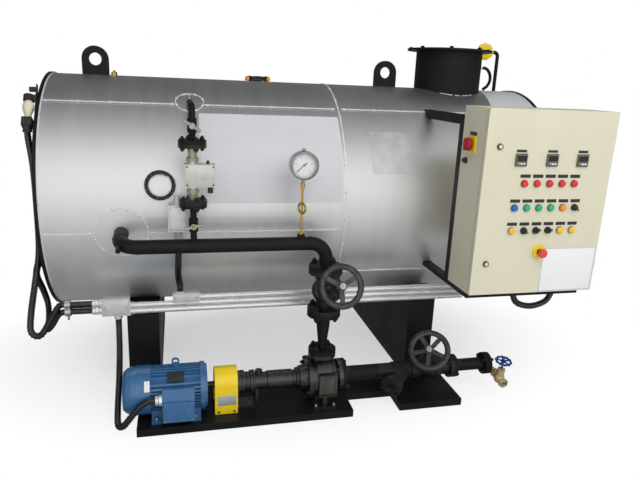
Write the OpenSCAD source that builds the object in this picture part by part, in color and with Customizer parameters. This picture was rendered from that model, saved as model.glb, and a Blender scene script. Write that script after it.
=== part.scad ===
// Thermal fluid heater: a horizontal fired drum in metal cladding on two saddles, with its
// circulation pump, valve train, bypass flow switch and control cabinet on the front side.
// Working frame: x along the drum from its left end, y from the drum axis (front is -y), z from the floor.

/* [Drum] */
// Diameter over the cladding
drum_d = 1120; // [1000:10:1240]
// Length over the end plates
drum_len = 2434; // [2300:2:2700]
// Height of the drum axis above the floor
drum_axis_h = 915; // [890:5:1000]
// Thickness of lagging and cladding together
lagging_t = 60; // [30:5:90]
// Thickness of each end plate
end_plate_t = 14; // [8:1:24]
// How far an end plate stands proud of the cladding
end_rim = 6; // [2:1:12]
// Place of the round cladding seam
seam_x = 1328; // [1280:2:1400]

/* [Saddles and base] */
// Thickness of each saddle along the drum
saddle_t = 141; // [100:1:160]
// Width of the saddles across the drum
saddle_w = 960; // [900:10:980]
// Height of the saddles beside the drum
saddle_h = 425; // [395:1:427]
// Middle of the left saddle
saddle_left_x = 405; // [395:5:420]
// Middle of the right saddle
saddle_right_x = 1791; // [1760:1:1815]
// Height of the folded base plates
base_h = 35; // [24:1:44]
// Sheet thickness of the folded base plates
base_sheet_t = 8; // [4:1:12]
// Left end of the pump skid
skid_x = 382; // [370:2:390]
// Length of the pump skid
skid_len = 957; // [940:1:980]
// Front edge of the pump skid from the drum axis
skid_front = 828; // [815:1:860]
// Left end of the right foot plate
foot_x = 1572; // [1540:2:1600]
// Length of the right foot plate
foot_len = 317; // [290:1:340]
// Front edge of the right foot plate from the drum axis
foot_front = 817; // [790:1:840]
// Front edge of the link plate from the drum axis
link_front = 685; // [640:1:720]

/* [Flue and lugs] */
// Middle of the flue from the right end of the drum
flue_inset = 398; // [370:2:430]
// Outside diameter of the flue
flue_d = 355; // [300:5:380]
// Wall of the flue
flue_wall = 6; // [4:1:10]
// Height of the flue above the drum
flue_h = 207; // [150:1:260]
// Diameter of the flue flange
flue_flange_d = 455; // [430:5:480]
// Thickness of the flue flange
flue_flange_t = 10; // [6:1:16]
// Bolt circle of the flue flange
flue_pcd = 415; // [405:5:420]
// Bolt hole of the flue flange
flue_hole_d = 14; // [10:1:18]
// Number of flue bolts
flue_bolts = 8; // [4:4:12]
// Width of a lifting lug
lug_w = 122; // [100:2:140]
// Height of a lifting lug
lug_h = 133; // [120:1:150]
// Plate thickness of a lifting lug
lug_t = 20; // [12:1:30]
// Hole of a lifting lug
lug_hole_d = 58; // [40:1:70]
// Middle of the left lug
lug_left_x = 203; // [180:1:230]
// Middle of the right lug from the right end of the drum
lug_right_inset = 762; // [730:2:800]

/* [Header and discharge valve] */
// Distance from the drum axis to the header pipe
header_reach = 704; // [690:1:720]
// Angle of the drum nozzle below the horizontal
nozzle_a = 9.3; // [4:0.1:12]
// Place of the drum nozzle
nozzle_x = 335; // [320:1:350]
// Outside diameter of the header pipe
header_d = 60.3; // [48.3:0.1:66]
// Bend radius of the header elbows
header_bend = 76; // [70:1:85]
// Place of the riser above the pump
riser_x = 1210; // [1200:1:1220]
// Outside diameter of the pipe flanges
flange_d = 152; // [140:1:165]
// Thickness of the pipe flanges
flange_t = 19; // [14:1:22]
// Outside diameter of the small flanges
small_flange_d = 127; // [115:1:135]
// Face to face length of the globe valves
valve_len = 200; // [180:1:210]
// Height of the discharge valve
discharge_valve_h = 580; // [570:1:600]
// Lean of the valve stems downstream
valve_lean = 23; // [15:1:30]
// Distance from the pipe axis to the handwheel
stem_len = 287; // [265:1:310]
// Diameter of a handwheel
wheel_d = 188; // [170:1:200]
// Thickness of the handwheel rim
wheel_rim_t = 18; // [14:1:22]
// Width of the handwheel rim
wheel_rim_w = 26; // [18:1:30]
// Diameter of a valve stem
stem_d = 16; // [12:1:20]

/* [Pump and motor] */
// Height of the pump shaft above the floor
pump_h = 150; // [140:1:165]
// Height of the joint between pump and riser
discharge_joint_h = 278; // [270:1:290]
// Outside diameter of the riser at the pump
riser_small_d = 42.4; // [33.7:0.1:48.3]
// Diameter of the pump casing
casing_d = 176; // [160:2:190]
// Left end of the motor
motor_x = 326; // [318:1:332]
// Diameter over the motor fins
motor_d = 206; // [190:2:216]
// Length of the fan cover
fan_cover_len = 117; // [100:1:125]
// Length of the finned motor frame
motor_frame_len = 209; // [195:1:215]
// Length of the drive end shield
end_shield_len = 30; // [24:1:34]
// Diameter of the pump shaft
shaft_d = 28; // [20:1:34]
// Left end of the coupling guard
guard_x = 714; // [708:1:718]
// Length of the coupling guard
guard_len = 101; // [90:1:104]
// Sheet thickness of the coupling guard
guard_t = 3; // [2:0.5:5]

/* [Suction line] */
// Outside diameter of the suction pipe
suction_d = 73; // [60.3:0.1:76.1]
// Joint between pump and suction pipe
suction_joint_x = 1303; // [1296:1:1310]
// Middle of the strainer
strainer_x = 1636; // [1625:1:1645]
// Middle of the suction valve
suction_valve_x = 1775; // [1768:1:1785]
// Turn of the suction valve stem above the horizontal
suction_valve_a = 45; // [35:1:55]
// Diameter of the flanges beside the suction valve
suction_flange_d = 112; // [105:1:125]
// Outside diameter of the return pipe
return_d = 60.3; // [48.3:0.1:66]
// Right end of the return pipe
return_end_x = 2078; // [2070:1:2110]
// Bore of the drain valve mouth
drain_bore = 26; // [20:0.5:28]

/* [Bypass line] */
// Place of the bypass line
bypass_x = 635; // [610:1:660]
// Outside diameter of the bypass pipe
bypass_d = 26.9; // [21.3:0.1:30]
// Angle above the horizontal where the bypass enters the drum
bypass_top_a = 54.9; // [50:0.1:58]
// Diameter of the bypass flanges
bypass_flange_d = 112; // [95:1:120]
// Width of the flow switch
switch_w = 122; // [110:1:130]
// Height of the flow switch
switch_h = 93; // [85:1:100]
// Length of a shut-off lever
lever_len = 76; // [60:1:90]
// Place of the pressure gauge
gauge_x = 1092; // [1070:1:1100]
// Height of the gauge above the floor
gauge_h = 1146; // [1130:1:1160]
// Diameter of the gauge bezel
gauge_d = 122; // [100:1:130]

/* [Cabinet] */
// Left side of the cabinet from the right end of the drum
cabinet_inset = 657; // [640:1:680]
// Width of the cabinet
cabinet_w = 600; // [560:5:640]
// Height of the cabinet
cabinet_h = 786; // [740:2:820]
// Bottom of the cabinet above the floor
cabinet_z = 631; // [620:1:650]
// Depth of the cabinet without its door
cabinet_depth = 182; // [160:2:220]
// Gap between the drum axis and the cabinet back
cabinet_back = 764; // [740:2:790]
// Sheet thickness of the cabinet
cabinet_sheet_t = 3; // [1.5:0.5:5]
// Thickness of the door
door_t = 19; // [14:1:26]
// Width of the bracket's angle bars
angle_w = 40; // [30:1:50]
// Thickness of the bracket's angle bars
angle_t = 5; // [3:0.5:8]

/* [Conduits] */
// Outside diameter of a conduit
conduit_d = 26; // [20:0.5:27]
// Height of the lowest conduit
conduit_low_h = 442; // [436:1:450]
// Pitch of the conduits
conduit_pitch = 28; // [27.5:0.5:30]
// Right end of the conduits
conduit_end_x = 1990; // [1960:5:2040]
// Outside diameter of the flexible hoses
hose_d = 30; // [24:1:31]

/* [Hidden] */
$fn = 64;
drum_facets = 180;

// Shared clearances and cut overrun
seat_gap = 0.3;
stem_gap = 0.1;
overrun = 2;

// Drum values
drum_r = drum_d / 2;
drum_bore_d = drum_d - 2 * lagging_t;
end_plate_d = drum_d + 2 * end_rim;
drum_top = drum_axis_h + drum_r;
saddle_front = saddle_w / 2;
conduit_bar_w = 40;
conduit_bar_t = 6;
flue_x = drum_len - flue_inset;
lug_right_x = drum_len - lug_right_inset;

// Header values: the header lies on the nozzle's radius
header_y = -header_reach * cos(nozzle_a);
header_z = drum_axis_h - header_reach * sin(nozzle_a);
header_flange_z = discharge_valve_h + valve_len / 2;
nozzle_depth = 40;
elbow_stub_d = 21;
elbow_stub_len = 34;
weld_t = 1.5;
weld_w = 7;
boss_d = 34;
boss_len = 24;

// Valve values
neck_wall = 9;
// Strainer body, and the collar where it meets its valve
strainer_body_d = 80;
strainer_collar_d = 94;
globe_d = 118;
bonnet_d = 78;
bonnet_flange_d = 122;
bonnet_flange_t = 16;
bonnet_len = 84;
gland_d = 46;
gland_len = 34;
yoke_w = 14;
yoke_span = 62;
yoke_boss_d = 40;
yoke_boss_len = 26;
yoke_gap = 24;
hub_d = 40;
hub_len = 26;
hub_top = 14;
nut_d = 24;
nut_len = 14;
spoke_w = 19;
spoke_t = 9;
wheel_sink = 6;
discharge_spokes = 3;
suction_spokes = 5;
rim_facets = 20;

// Riser values
riser_bottom = discharge_joint_h;
riser_top = discharge_valve_h - valve_len / 2;
riser_straight = 52;
reducer_len = 76;

// Pump values
casing_len = 112;
casing_x = riser_x - casing_len / 2;
casing_flange_d = 198;
casing_flange_t = 16;
casing_pad_w = 86;
casing_pad_h = 110;
casing_pad_proud = 7;
casing_pad_rim = 7;
discharge_neck_d = 74;
volute_lift = 15;
suction_neck_d = 84;
pump_foot_w = 108;
pump_foot_front = 112;
pump_foot_t = 14;
pump_foot_rib_t = 18;
bracket_end_x = casing_x - casing_flange_t;
bracket_x = 820;
bracket_len = bracket_end_x - bracket_x;
bracket_foot_w = 90;
bracket_foot_front = 42;
bracket_foot_t = 12;
bracket_foot_rib_t = 12;
bracket_rib_share = 0.12;
bracket_boss_share = 0.31;
pump_axis_up = pump_h - base_h;

// Motor values
fin_h = 14;
fin_t = 5;
fin_pitch = 15;
fin_count = 9;
motor_frame_x = motor_x + fan_cover_len;
end_shield_x = motor_frame_x + motor_frame_len;
motor_end_x = end_shield_x + end_shield_len;
end_shield_rim = 4;
end_shield_d = motor_d + 2 * end_shield_rim;
end_shield_step_share = 0.9;
motor_foot_t = 14;
motor_foot_w = 42;
motor_foot_spread = 104;
terminal_inset = 165;
terminal_x = motor_x + terminal_inset;
terminal_w = 134;
terminal_h = 138;
terminal_proud = 42;
terminal_chamfer = 34;
terminal_lift = 14;
motor_gland_d = 34;
motor_gland_len = 24;
motor_gland_front = 24;
motor_gland_up = 15;
eye_d = 34;
eye_hole_d = 20;
eye_t = 9;
eye_stem = 12;

// Coupling values
guard_r = 68;
guard_spring_h = 163;
coupling_d = 96;
coupling_len = 36;
coupling_gap = 6;

// Suction line values
strainer_back = 146;
strainer_branch_d = 72;
strainer_branch_len = 130;
strainer_lean = 47;
strainer_drop = 25;
strainer_cover_d = 104;
strainer_cover_t = 16;
strainer_plug_d = 30;
strainer_plug_len = 18;
blind_t = 16;
blind_d = 108;
drain_bend = 30;
drain_drop = 34;
drain_tilt = 10;
drain_nipple_d = 34;
drain_body_d = 54;
drain_body_len = 96;
drain_hex_d = 48;
drain_hex_len = 16;
drain_bonnet_d = 38;
drain_bonnet_h = 56;
drain_stem_d = 9;
drain_stem_h = 103;
drain_wheel_d = 78;
drain_wheel_t = 10;
drain_hub_d = 22;
drain_hub_len = 12;
drain_spoke_w = 8;
drain_spokes = 5;

// Bypass values
bypass_flange_t = 15;
cock_d = 38;
cock_len = 56;
cock_gland_d = 22;
cock_gland_len = 12;
cock_stem_d = 11;
lever_gap = 5;
bypass_bend = 36;
bypass_top_h = drum_axis_h + drum_r * sin(bypass_top_a);
bypass_span = bypass_top_h - header_z;
lower_cock_share = 0.16;
lower_joint_share = 0.321;
switch_share = 0.525;
upper_joint_share = 0.746;
upper_cock_share = 0.872;
lower_cock_h = header_z + lower_cock_share * bypass_span;
lower_joint_h = header_z + lower_joint_share * bypass_span;
upper_joint_h = header_z + upper_joint_share * bypass_span;
upper_cock_h = header_z + upper_cock_share * bypass_span;
switch_z = header_z + switch_share * bypass_span - switch_h / 2;
lever_w = 13;
lever_t = 4;
upper_lever_a = 32;
lower_lever_a = -14;
switch_depth = 56;
switch_left = 32;
switch_nut_d = 40;
switch_nut_len = 28;
switch_neck_d = 26;
switch_plug_d = 22;
switch_plug_len = 28;
switch_plug_inset = 20;
switch_knob_d = 12;
switch_knob_len = 14;
siphon_d = 10;
siphon_nut_d = 20;
siphon_nut_len = 22;
siphon_loop_r = 22;
siphon_loop_h = 960;
siphon_turn = 30;
gauge_t = 46;
gauge_neck_d = 14;
gauge_neck_len = 16;
gauge_plug_d = 14;
gauge_plug_len = 8;

// Sensor values
sensor_x = 573;
sensor_z = 910;
sensor_w = 76;
sensor_d = 70;
sensor_h = 108;
sensor_gap = 22;
sensor_lid_t = 6;
sensor_lid_rim = 3;
sensor_stub_d = 26;
sensor_neck_d = 38;
sensor_neck_h = 42;
sensor_gland_d = 30;
sensor_gland_h = 16;
sensor_y = -(drum_r + sensor_gap + sensor_d / 2);
coil_x = 501;
coil_z = 1032;
coil_mid_d = 114;
coil_t = 18;
coil_lean = asin((coil_z - drum_axis_h) / drum_r);

// Conduit values
conduit_y = -(saddle_front + conduit_d / 2 + seat_gap);
box_left_x = 235;
box_left_w = 115;
box_left_z = 434;
box_left_h = 77;
box_right_x = 544;
box_right_w = 114;
box_right_h = 42;
box_right_z = conduit_low_h + conduit_pitch + conduit_d / 2 + seat_gap;
box_depth = 36;
box_lid_t = 5;
box_lid_rim = 3;
conduit_nut = 1.6;
connector_d = 33;
connector_len = 22;
hose_low_h = 452;
hose_pitch = 34;
clip_x = 76;
clip_w = 24;
clip_wall = 4;
clip_slack = 2;
clip_bar_t = 6;
clip_bar_w = 18;
clip_screw_d = 9;
clip_screw_len = 38;

// Cabinet values
cabinet_x = drum_len - cabinet_inset;
cabinet_back_y = -cabinet_back;
cabinet_front_y = cabinet_back_y - cabinet_depth;
door_gap = 5;
door_back_y = cabinet_front_y - door_gap;
door_front_y = door_back_y - door_t;
door_lip_t = 2.5;
hinge_d = 16;
hinge_half = 26;
hinge_pin_d = 8;
hinge_leaf = 34;
hinge_door_leaf = 14;
hinge_shares = [0.12, 0.82];
cabinet_right_x = cabinet_x + cabinet_w;
hinge_gap = 1;
hinge_x = cabinet_right_x + hinge_d / 2 + hinge_gap;
hinge_y = door_back_y + door_gap / 2;
button_d = 29;
button_h = 13;
button_row_shares = [0.617, 0.486, 0.36];
button_first_shares = [0.3183, 0.27, 0.2667];
button_pitch_shares = [0.0992, 0.095, 0.097];
button_count = [5, 6, 6];
controller_w = 48;
controller_h = 10;
controller_share = 0.2683;
controller_pitch_share = 0.2408;
controller_row_share = 0.7417;
controller_count = 3;
lock_d = 24;
lock_h = 8;
lock_share = 0.105;
lock_row_shares = [0.808, 0.178];
stop_share = 0.5133;
stop_row_share = 0.239;
stop_base_d = 62;
stop_base_h = 8;
stop_neck_d = 26;
stop_neck_h = 16;
stop_cap_d = 40;
stop_cap_h = 18;
isolator_share = 0.505;
isolator_row_share = 0.803;
isolator_y = cabinet_back_y - isolator_share * cabinet_depth;
isolator_z = cabinet_z + isolator_row_share * cabinet_h;
isolator_w = 66;
isolator_t = 8;
isolator_gap = 5;
isolator_pin_d = 12;
isolator_knob_d = 50;
isolator_knob_t = 14;
isolator_grip_t = 12;
isolator_grip_h = 12;
latch_d = 20;
latch_len = 12;
latch_share = 0.28;
latch_row_share = 0.711;
arm_top_share = 0.8957;
arm_top_z = cabinet_z + arm_top_share * cabinet_h;
arm_right_inset = 48;
rail_h = 22;
cabinet_gland_d = 34;

// Vent and lamp values
vent_inset = 48;
vent_x = drum_len - vent_inset;
vent_y = 100;
vent_d = 20;
vent_top = 1690;
vent_bend = 24;
cap_d = 88;
cap_t = 22;
cap_turn = -24;
cap_reach = 14;
cap_neck_d = 34;
cap_gap = 2;
lamp_y = -402;
lamp_z = 1270;
lamp_lean = 34;
lamp_block = 40;
lamp_bulb_d = 46;
lamp_bulb_h = 84;
lamp_hood_d = 44;
lamp_hood_h = 26;
lamp_len = 184;
lamp_reach = 62;
lamp_strap_t = 4;
lamp_strap_w = 22;
lamp_knob_d = 22;
lamp_gland_d = 34;
lamp_gland_len = 26;
pilot_gland_d = 34;

// Flexible hose routes, chosen by hand
motor_hose_route = [[299, -498, 412], [299, -498, 375], [300, -528, 272], [303, -630, 182],
    [301, -728, 84], [306, -786, 44], [330, -820, 56], [362, -827, 98], [402, -824, 144],
    [440, -821.8, 165], [467, -821.8, 165]];
burner_hose_route = [[-31, -412, 1236], [-31, -412, 1205], [-20, -420, 1080], [-19, -426, 880],
    [-24, -436, 715], [-38, -490, 590], [-46, -566, 482], [-44, -601, 412], [-12, -592, 388],
    [20, -545, 432], [50, -497, 480], [74, -493.3, 486], [110, -493.3, 486], [190, -493.3, 486]];
pilot_hose_route = [[-24, -374, 640], [-44, -374, 640], [-62, -345, 580], [-52, -288, 485],
    [-42, -264, 402], [-38, -300, 332], [-26, -392, 330], [8, -452, 376], [46, -488, 440],
    [74, -493.3, 452], [110, -493.3, 452], [190, -493.3, 452]];
sensor_hose_route = [[573, -617, 814], [573, -617, 780], [569, -592, 695], [568, -545, 620], [574, -500, 560],
    [574, -500, 525.3]];
// Hose below the cabinet, from the cabinet's lower left back corner
cabinet_hose_shape = [[283, -96, -22], [283, -96, -45], [310, -96, -92], [384, -96, -112], [458, -96, -92],
    [485, -96, -45], [485, -96, -22]];
cabinet_hose_route = [for (p = cabinet_hose_shape) [cabinet_x, cabinet_back_y, cabinet_z] + p];
hose_sides = 10;
hose_steps = 2;

// Plan centre of the rigid part, which becomes the origin
origin_x = (drum_len - lamp_reach) / 2;
front_reach = -door_front_y + stop_base_h + stop_neck_h + stop_cap_h;
origin_y = (end_plate_d / 2 - front_reach) / 2;

// Placing and basic shapes

module in_frame() {
    translate([-origin_x, -origin_y, 0]) children();
}

module along_x() {
    rotate([0, 90, 0]) children();
}

module to_front() {
    rotate([90, 0, 0]) children();
}

module on_radius(angle) {
    translate([0, 0, drum_axis_h]) rotate([angle, 0, 0]) children();
}

module ring(outer_d, inner_d, h) {
    difference() {
        cylinder(d = outer_d, h = h);
        translate([0, 0, -overrun]) cylinder(d = inner_d, h = h + 2 * overrun);
    }
}

module bend(radius, d, turn) {
    rotate_extrude(angle = turn) translate([radius, 0]) circle(d = d);
}

module drum_space(extra) {
    translate([-overrun, 0, drum_axis_h])
        along_x() cylinder(d = drum_d + 2 * extra, h = drum_len + 2 * overrun, $fn = drum_facets);
}

module folded_plate(len, depth) {
    difference() {
        cube([len, depth, base_h]);
        translate([base_sheet_t, base_sheet_t, -overrun])
            cube([len - 2 * base_sheet_t, depth - 2 * base_sheet_t, base_h - base_sheet_t + overrun]);
    }
}

// A tube swept along a route, as one closed polyhedron

function unit(v) = v / norm(v);

function spline_point(a, b, c, d, t) =
    0.5 * (2 * b + (c - a) * t + (2 * a - 5 * b + 4 * c - d) * t * t + (3 * b - a - 3 * c + d) * t * t * t);

function smooth_route(p) = [
    for (i = [0 : len(p) - 2], s = [0 : hose_steps - 1])
        spline_point(p[max(i - 1, 0)], p[i], p[i + 1], p[min(i + 2, len(p) - 1)], s / hose_steps),
    p[len(p) - 1]];

// Direction of the tube at each ring, square to its first and last leg at the two ends
function headings(route, path) = let (n = len(path), m = len(route)) [
    for (i = [0 : n - 1])
        i == 0 ? unit(route[1] - route[0])
        : i == n - 1 ? unit(route[m - 1] - route[m - 2])
        : unit(path[i + 1] - path[i - 1])];

function ring_side(ways, i, side) =
    let (last = i == 0 ? side : ring_side(ways, i - 1, side), t = ways[i]) unit(last - (last * t) * t);

module hose(route, side) {
    path = smooth_route(route);
    ways = headings(route, path);
    rings = len(path);
    points = [
        for (i = [0 : rings - 1])
            let (t = ways[i], u = ring_side(ways, i, side), v = cross(t, u))
                for (k = [0 : hose_sides - 1])
                    path[i] + hose_d / 2 * (cos(360 * k / hose_sides) * u + sin(360 * k / hose_sides) * v)];
    walls = [
        for (i = [0 : rings - 2], k = [0 : hose_sides - 1])
            let (n = (k + 1) % hose_sides)
                [i * hose_sides + k, (i + 1) * hose_sides + k, (i + 1) * hose_sides + n, i * hose_sides + n]];
    first_cap = [for (k = [0 : hose_sides - 1]) k];
    last_cap = [for (k = [hose_sides - 1 : -1 : 0]) (rings - 1) * hose_sides + k];
    color("#1b1b1c") in_frame() polyhedron(points, concat(walls, [first_cap, last_cap]));
}

// Drum

module cladding(x0, x1) {
    translate([x0, 0, drum_axis_h]) along_x() ring(drum_d, drum_bore_d, x1 - x0);
}

module cladding_left() {
    color("#b9bbbd") in_frame() difference() {
        cladding(end_plate_t, seam_x);
        on_radius(nozzle_a) translate([nozzle_x, 0, 0])
            to_front() cylinder(d = header_d + 2 * seat_gap, h = drum_d);
        translate([bypass_x, 0, bypass_top_h])
            to_front() cylinder(d = bypass_d + 2 * seat_gap, h = drum_d);
        translate([sensor_x, 0, sensor_z])
            to_front() cylinder(d = sensor_stub_d + 2 * seat_gap, h = drum_d);
    }
}

module cladding_right() {
    color("#b9bbbd") in_frame() difference() {
        cladding(seam_x, drum_len - end_plate_t);
        translate([flue_x, 0, drum_axis_h]) cylinder(d = flue_d + 2 * seat_gap, h = drum_d);
        translate([vent_x, vent_y, drum_axis_h]) cylinder(d = vent_d + 2 * seat_gap, h = drum_d);
    }
}

module end_plate_left() {
    gland = pilot_hose_route[0];
    color("#1d1d1e") in_frame() {
        translate([0, 0, drum_axis_h]) along_x() cylinder(d = end_plate_d, h = end_plate_t);
        translate(gland) along_x() cylinder(d = pilot_gland_d, h = end_plate_t / 2 - gland.x);
    }
}

module end_plate_right() {
    color("#1d1d1e") in_frame() translate([drum_len - end_plate_t, 0, drum_axis_h])
        along_x() cylinder(d = end_plate_d, h = end_plate_t);
}

// Saddles and base

module saddle(x, rows) {
    bar_top = conduit_low_h + (rows - 1) * conduit_pitch + conduit_d / 2;
    color("#1a1a1b") in_frame() {
        difference() {
            translate([x - saddle_t / 2, -saddle_front, 0]) cube([saddle_t, saddle_w, saddle_h]);
            drum_space(seat_gap);
        }
        translate([x - conduit_bar_w / 2, -saddle_front, saddle_h])
            cube([conduit_bar_w, conduit_bar_t, bar_top - saddle_h]);
    }
}

module saddle_left() saddle(saddle_left_x, 2);

module saddle_right() saddle(saddle_right_x, 3);

module pump_skid() {
    color("#202021") in_frame() translate([skid_x, -skid_front, 0])
        folded_plate(skid_len, skid_front - saddle_front);
}

module right_foot_plate() {
    color("#202021") in_frame() translate([foot_x, -foot_front, 0])
        folded_plate(foot_len, foot_front - saddle_front);
}

module link_plate() {
    link_x = skid_x + skid_len;
    color("#202021") in_frame() translate([link_x, -link_front, 0])
        folded_plate(foot_x - link_x, link_front - saddle_front);
}

// Flue, lugs and vent

module flue() {
    flue_bottom = drum_axis_h + drum_r - lagging_t;
    flange_z = drum_top + flue_h - flue_flange_t;
    color("#1c1c1d") in_frame() translate([flue_x, 0, 0]) difference() {
        union() {
            translate([0, 0, flue_bottom]) cylinder(d = flue_d, h = flange_z - flue_bottom);
            translate([0, 0, flange_z]) cylinder(d = flue_flange_d, h = flue_flange_t);
        }
        translate([0, 0, flue_bottom - overrun])
            cylinder(d = flue_d - 2 * flue_wall, h = drum_top + flue_h - flue_bottom + 2 * overrun);
        for (i = [0 : flue_bolts - 1])
            rotate([0, 0, 360 / flue_bolts * (i + 0.5)]) translate([flue_pcd / 2, 0, flange_z - overrun])
                cylinder(d = flue_hole_d, h = flue_flange_t + 2 * overrun);
    }
}

module lifting_lug(x) {
    hole_z = drum_top + lug_h - lug_w / 2;
    translate([x, lug_t / 2, 0]) difference() {
        union() {
            translate([-lug_w / 2, -lug_t, drum_top]) cube([lug_w, lug_t, hole_z - drum_top]);
            translate([0, 0, hole_z]) to_front() cylinder(d = lug_w, h = lug_t);
        }
        translate([0, overrun, hole_z]) to_front() cylinder(d = lug_hole_d, h = lug_t + 2 * overrun);
    }
}

module lifting_lugs() {
    color("#1c1c1d") in_frame() {
        lifting_lug(lug_left_x);
        lifting_lug(lug_right_x);
    }
}

module vent_pipe() {
    vent_bottom = drum_axis_h + drum_r - lagging_t;
    color("#1c1c1d") in_frame() translate([vent_x, vent_y, 0]) {
        translate([0, 0, vent_bottom]) cylinder(d = vent_d, h = vent_top - vent_bend - vent_bottom);
        translate([-vent_bend, 0, vent_top - vent_bend])
            to_front() mirror([0, 0, 1]) bend(vent_bend, vent_d, 90);
        translate([-vent_bend - cap_reach, 0, vent_top]) along_x() cylinder(d = vent_d, h = cap_reach);
    }
}

module vent_cap() {
    cap_x = vent_x - vent_bend - cap_reach - cap_d / 2 - cap_gap;
    color("#e3c317") in_frame() translate([cap_x, vent_y, vent_top]) {
        rotate([0, 0, cap_turn]) to_front() translate([0, 0, -cap_t / 2]) cylinder(d = cap_d, h = cap_t);
        along_x() cylinder(d = cap_neck_d, h = cap_d / 2 + cap_gap);
    }
}

// Header, valves and riser

module weld() {
    translate([0, 0, -weld_w / 2]) cylinder(d = header_d + 2 * weld_t, h = weld_w);
}

module header_pipe() {
    boss_z = header_z + header_d / 2;
    run_x = nozzle_x + header_bend;
    color("#1c1c1d") in_frame() {
        on_radius(nozzle_a) translate([nozzle_x, 0, 0]) {
            translate([0, -drum_r + nozzle_depth, 0])
                to_front() cylinder(d = header_d, h = header_reach - header_bend - drum_r + nozzle_depth);
            translate([0, header_bend - header_reach, 0]) to_front() weld();
            translate([header_bend, header_bend - header_reach, 0])
                rotate([0, 0, 180]) bend(header_bend, header_d, 90);
            translate([0, header_bend / 2 - header_reach, 0])
                to_front() cylinder(d = elbow_stub_d, h = header_bend / 2 + elbow_stub_len);
        }
        translate([0, header_y, 0]) {
            translate([run_x, 0, header_z]) along_x() {
                weld();
                cylinder(d = header_d, h = riser_x - header_bend - run_x);
                translate([0, 0, riser_x - header_bend - run_x]) weld();
            }
            translate([riser_x - header_bend, 0, header_z - header_bend])
                to_front() mirror([0, 0, 1]) bend(header_bend, header_d, 90);
            translate([riser_x, 0, header_flange_z]) {
                cylinder(d = header_d, h = header_z - header_bend - header_flange_z);
                cylinder(d = flange_d, h = flange_t);
            }
            translate([riser_x, 0, header_z - header_bend]) weld();
            translate([gauge_x, 0, boss_z - boss_len / 2]) cylinder(d = boss_d, h = boss_len);
        }
    }
}

module globe_valve_body(first_d, last_d) {
    stem_out = stem_len - hub_len;
    difference() {
        union() {
            translate([0, 0, -valve_len / 2]) cylinder(d = first_d, h = flange_t);
            translate([0, 0, valve_len / 2 - flange_t]) cylinder(d = last_d, h = flange_t);
            translate([0, 0, -valve_len / 2]) cylinder(d = header_d + 2 * neck_wall, h = valve_len);
            sphere(d = globe_d);
            rotate([90 - valve_lean, 0, 0]) {
                cylinder(d = bonnet_d, h = bonnet_len);
                translate([0, 0, bonnet_len - bonnet_flange_t])
                    cylinder(d = bonnet_flange_d, h = 2 * bonnet_flange_t);
                translate([0, 0, bonnet_len]) cylinder(d = gland_d, h = bonnet_flange_t + gland_len);
                for (side = [-1, 1])
                    translate([side * yoke_span / 2 - yoke_w / 2, -yoke_w / 2, bonnet_len])
                        cube([yoke_w, yoke_w, stem_out - yoke_gap - bonnet_len]);
                translate([-yoke_span / 2 - yoke_w / 2, -yoke_w / 2, stem_out - yoke_gap - yoke_w])
                    cube([yoke_span + yoke_w, yoke_w, yoke_w]);
                translate([0, 0, stem_out - yoke_gap - yoke_boss_len])
                    cylinder(d = yoke_boss_d, h = yoke_boss_len);
            }
        }
        rotate([90 - valve_lean, 0, 0]) translate([0, 0, bonnet_len])
            cylinder(d = stem_d + 2 * stem_gap, h = stem_len);
    }
}

module handwheel(spokes) {
    rim_r = (wheel_d - wheel_rim_w) / 2;
    rim = [for (k = [0 : rim_facets - 1])
        [rim_r + wheel_rim_w / 2 * cos(360 * k / rim_facets), wheel_rim_t / 2 * sin(360 * k / rim_facets)]];
    rotate([90 - valve_lean, 0, 0]) {
        translate([0, 0, stem_len]) {
            translate([0, 0, wheel_sink]) rotate_extrude() polygon(rim);
            translate([0, 0, -hub_len]) cylinder(d = hub_d, h = hub_len + hub_top);
            cylinder(d = nut_d, h = hub_top + nut_len);
            for (i = [0 : spokes - 1])
                rotate([0, 0, 360 / spokes * i + 90 / spokes])
                    translate([0, -spoke_w / 2, 0]) cube([rim_r, spoke_w, spoke_t]);
        }
        translate([0, 0, bonnet_len + overrun]) cylinder(d = stem_d, h = stem_len - bonnet_len - overrun);
    }
}

module at_discharge_valve() {
    translate([riser_x, header_y, discharge_valve_h]) children();
}

module at_suction_valve() {
    translate([suction_valve_x, header_y, pump_h]) rotate([-suction_valve_a, 0, 0]) rotate([0, -90, 0])
        children();
}

module discharge_valve() {
    color("#232324") in_frame() at_discharge_valve() globe_valve_body(flange_d, flange_d);
}

module discharge_handwheel() {
    color("#4a4745") in_frame() at_discharge_valve() handwheel(discharge_spokes);
}

module riser() {
    straight_z = riser_top - flange_t - riser_straight;
    color("#1c1c1d") in_frame() translate([riser_x, header_y, 0]) {
        translate([0, 0, riser_top - flange_t]) cylinder(d = flange_d, h = flange_t);
        translate([0, 0, straight_z]) cylinder(d = header_d, h = riser_straight);
        translate([0, 0, straight_z - reducer_len])
            cylinder(d1 = riser_small_d, d2 = header_d, h = reducer_len);
        translate([0, 0, riser_bottom])
            cylinder(d = riser_small_d, h = straight_z - reducer_len - riser_bottom);
        translate([0, 0, riser_bottom]) cylinder(d = small_flange_d, h = flange_t);
    }
}

// Pump, coupling and motor

module at_shaft(x) {
    translate([x, header_y, pump_h]) children();
}

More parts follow.
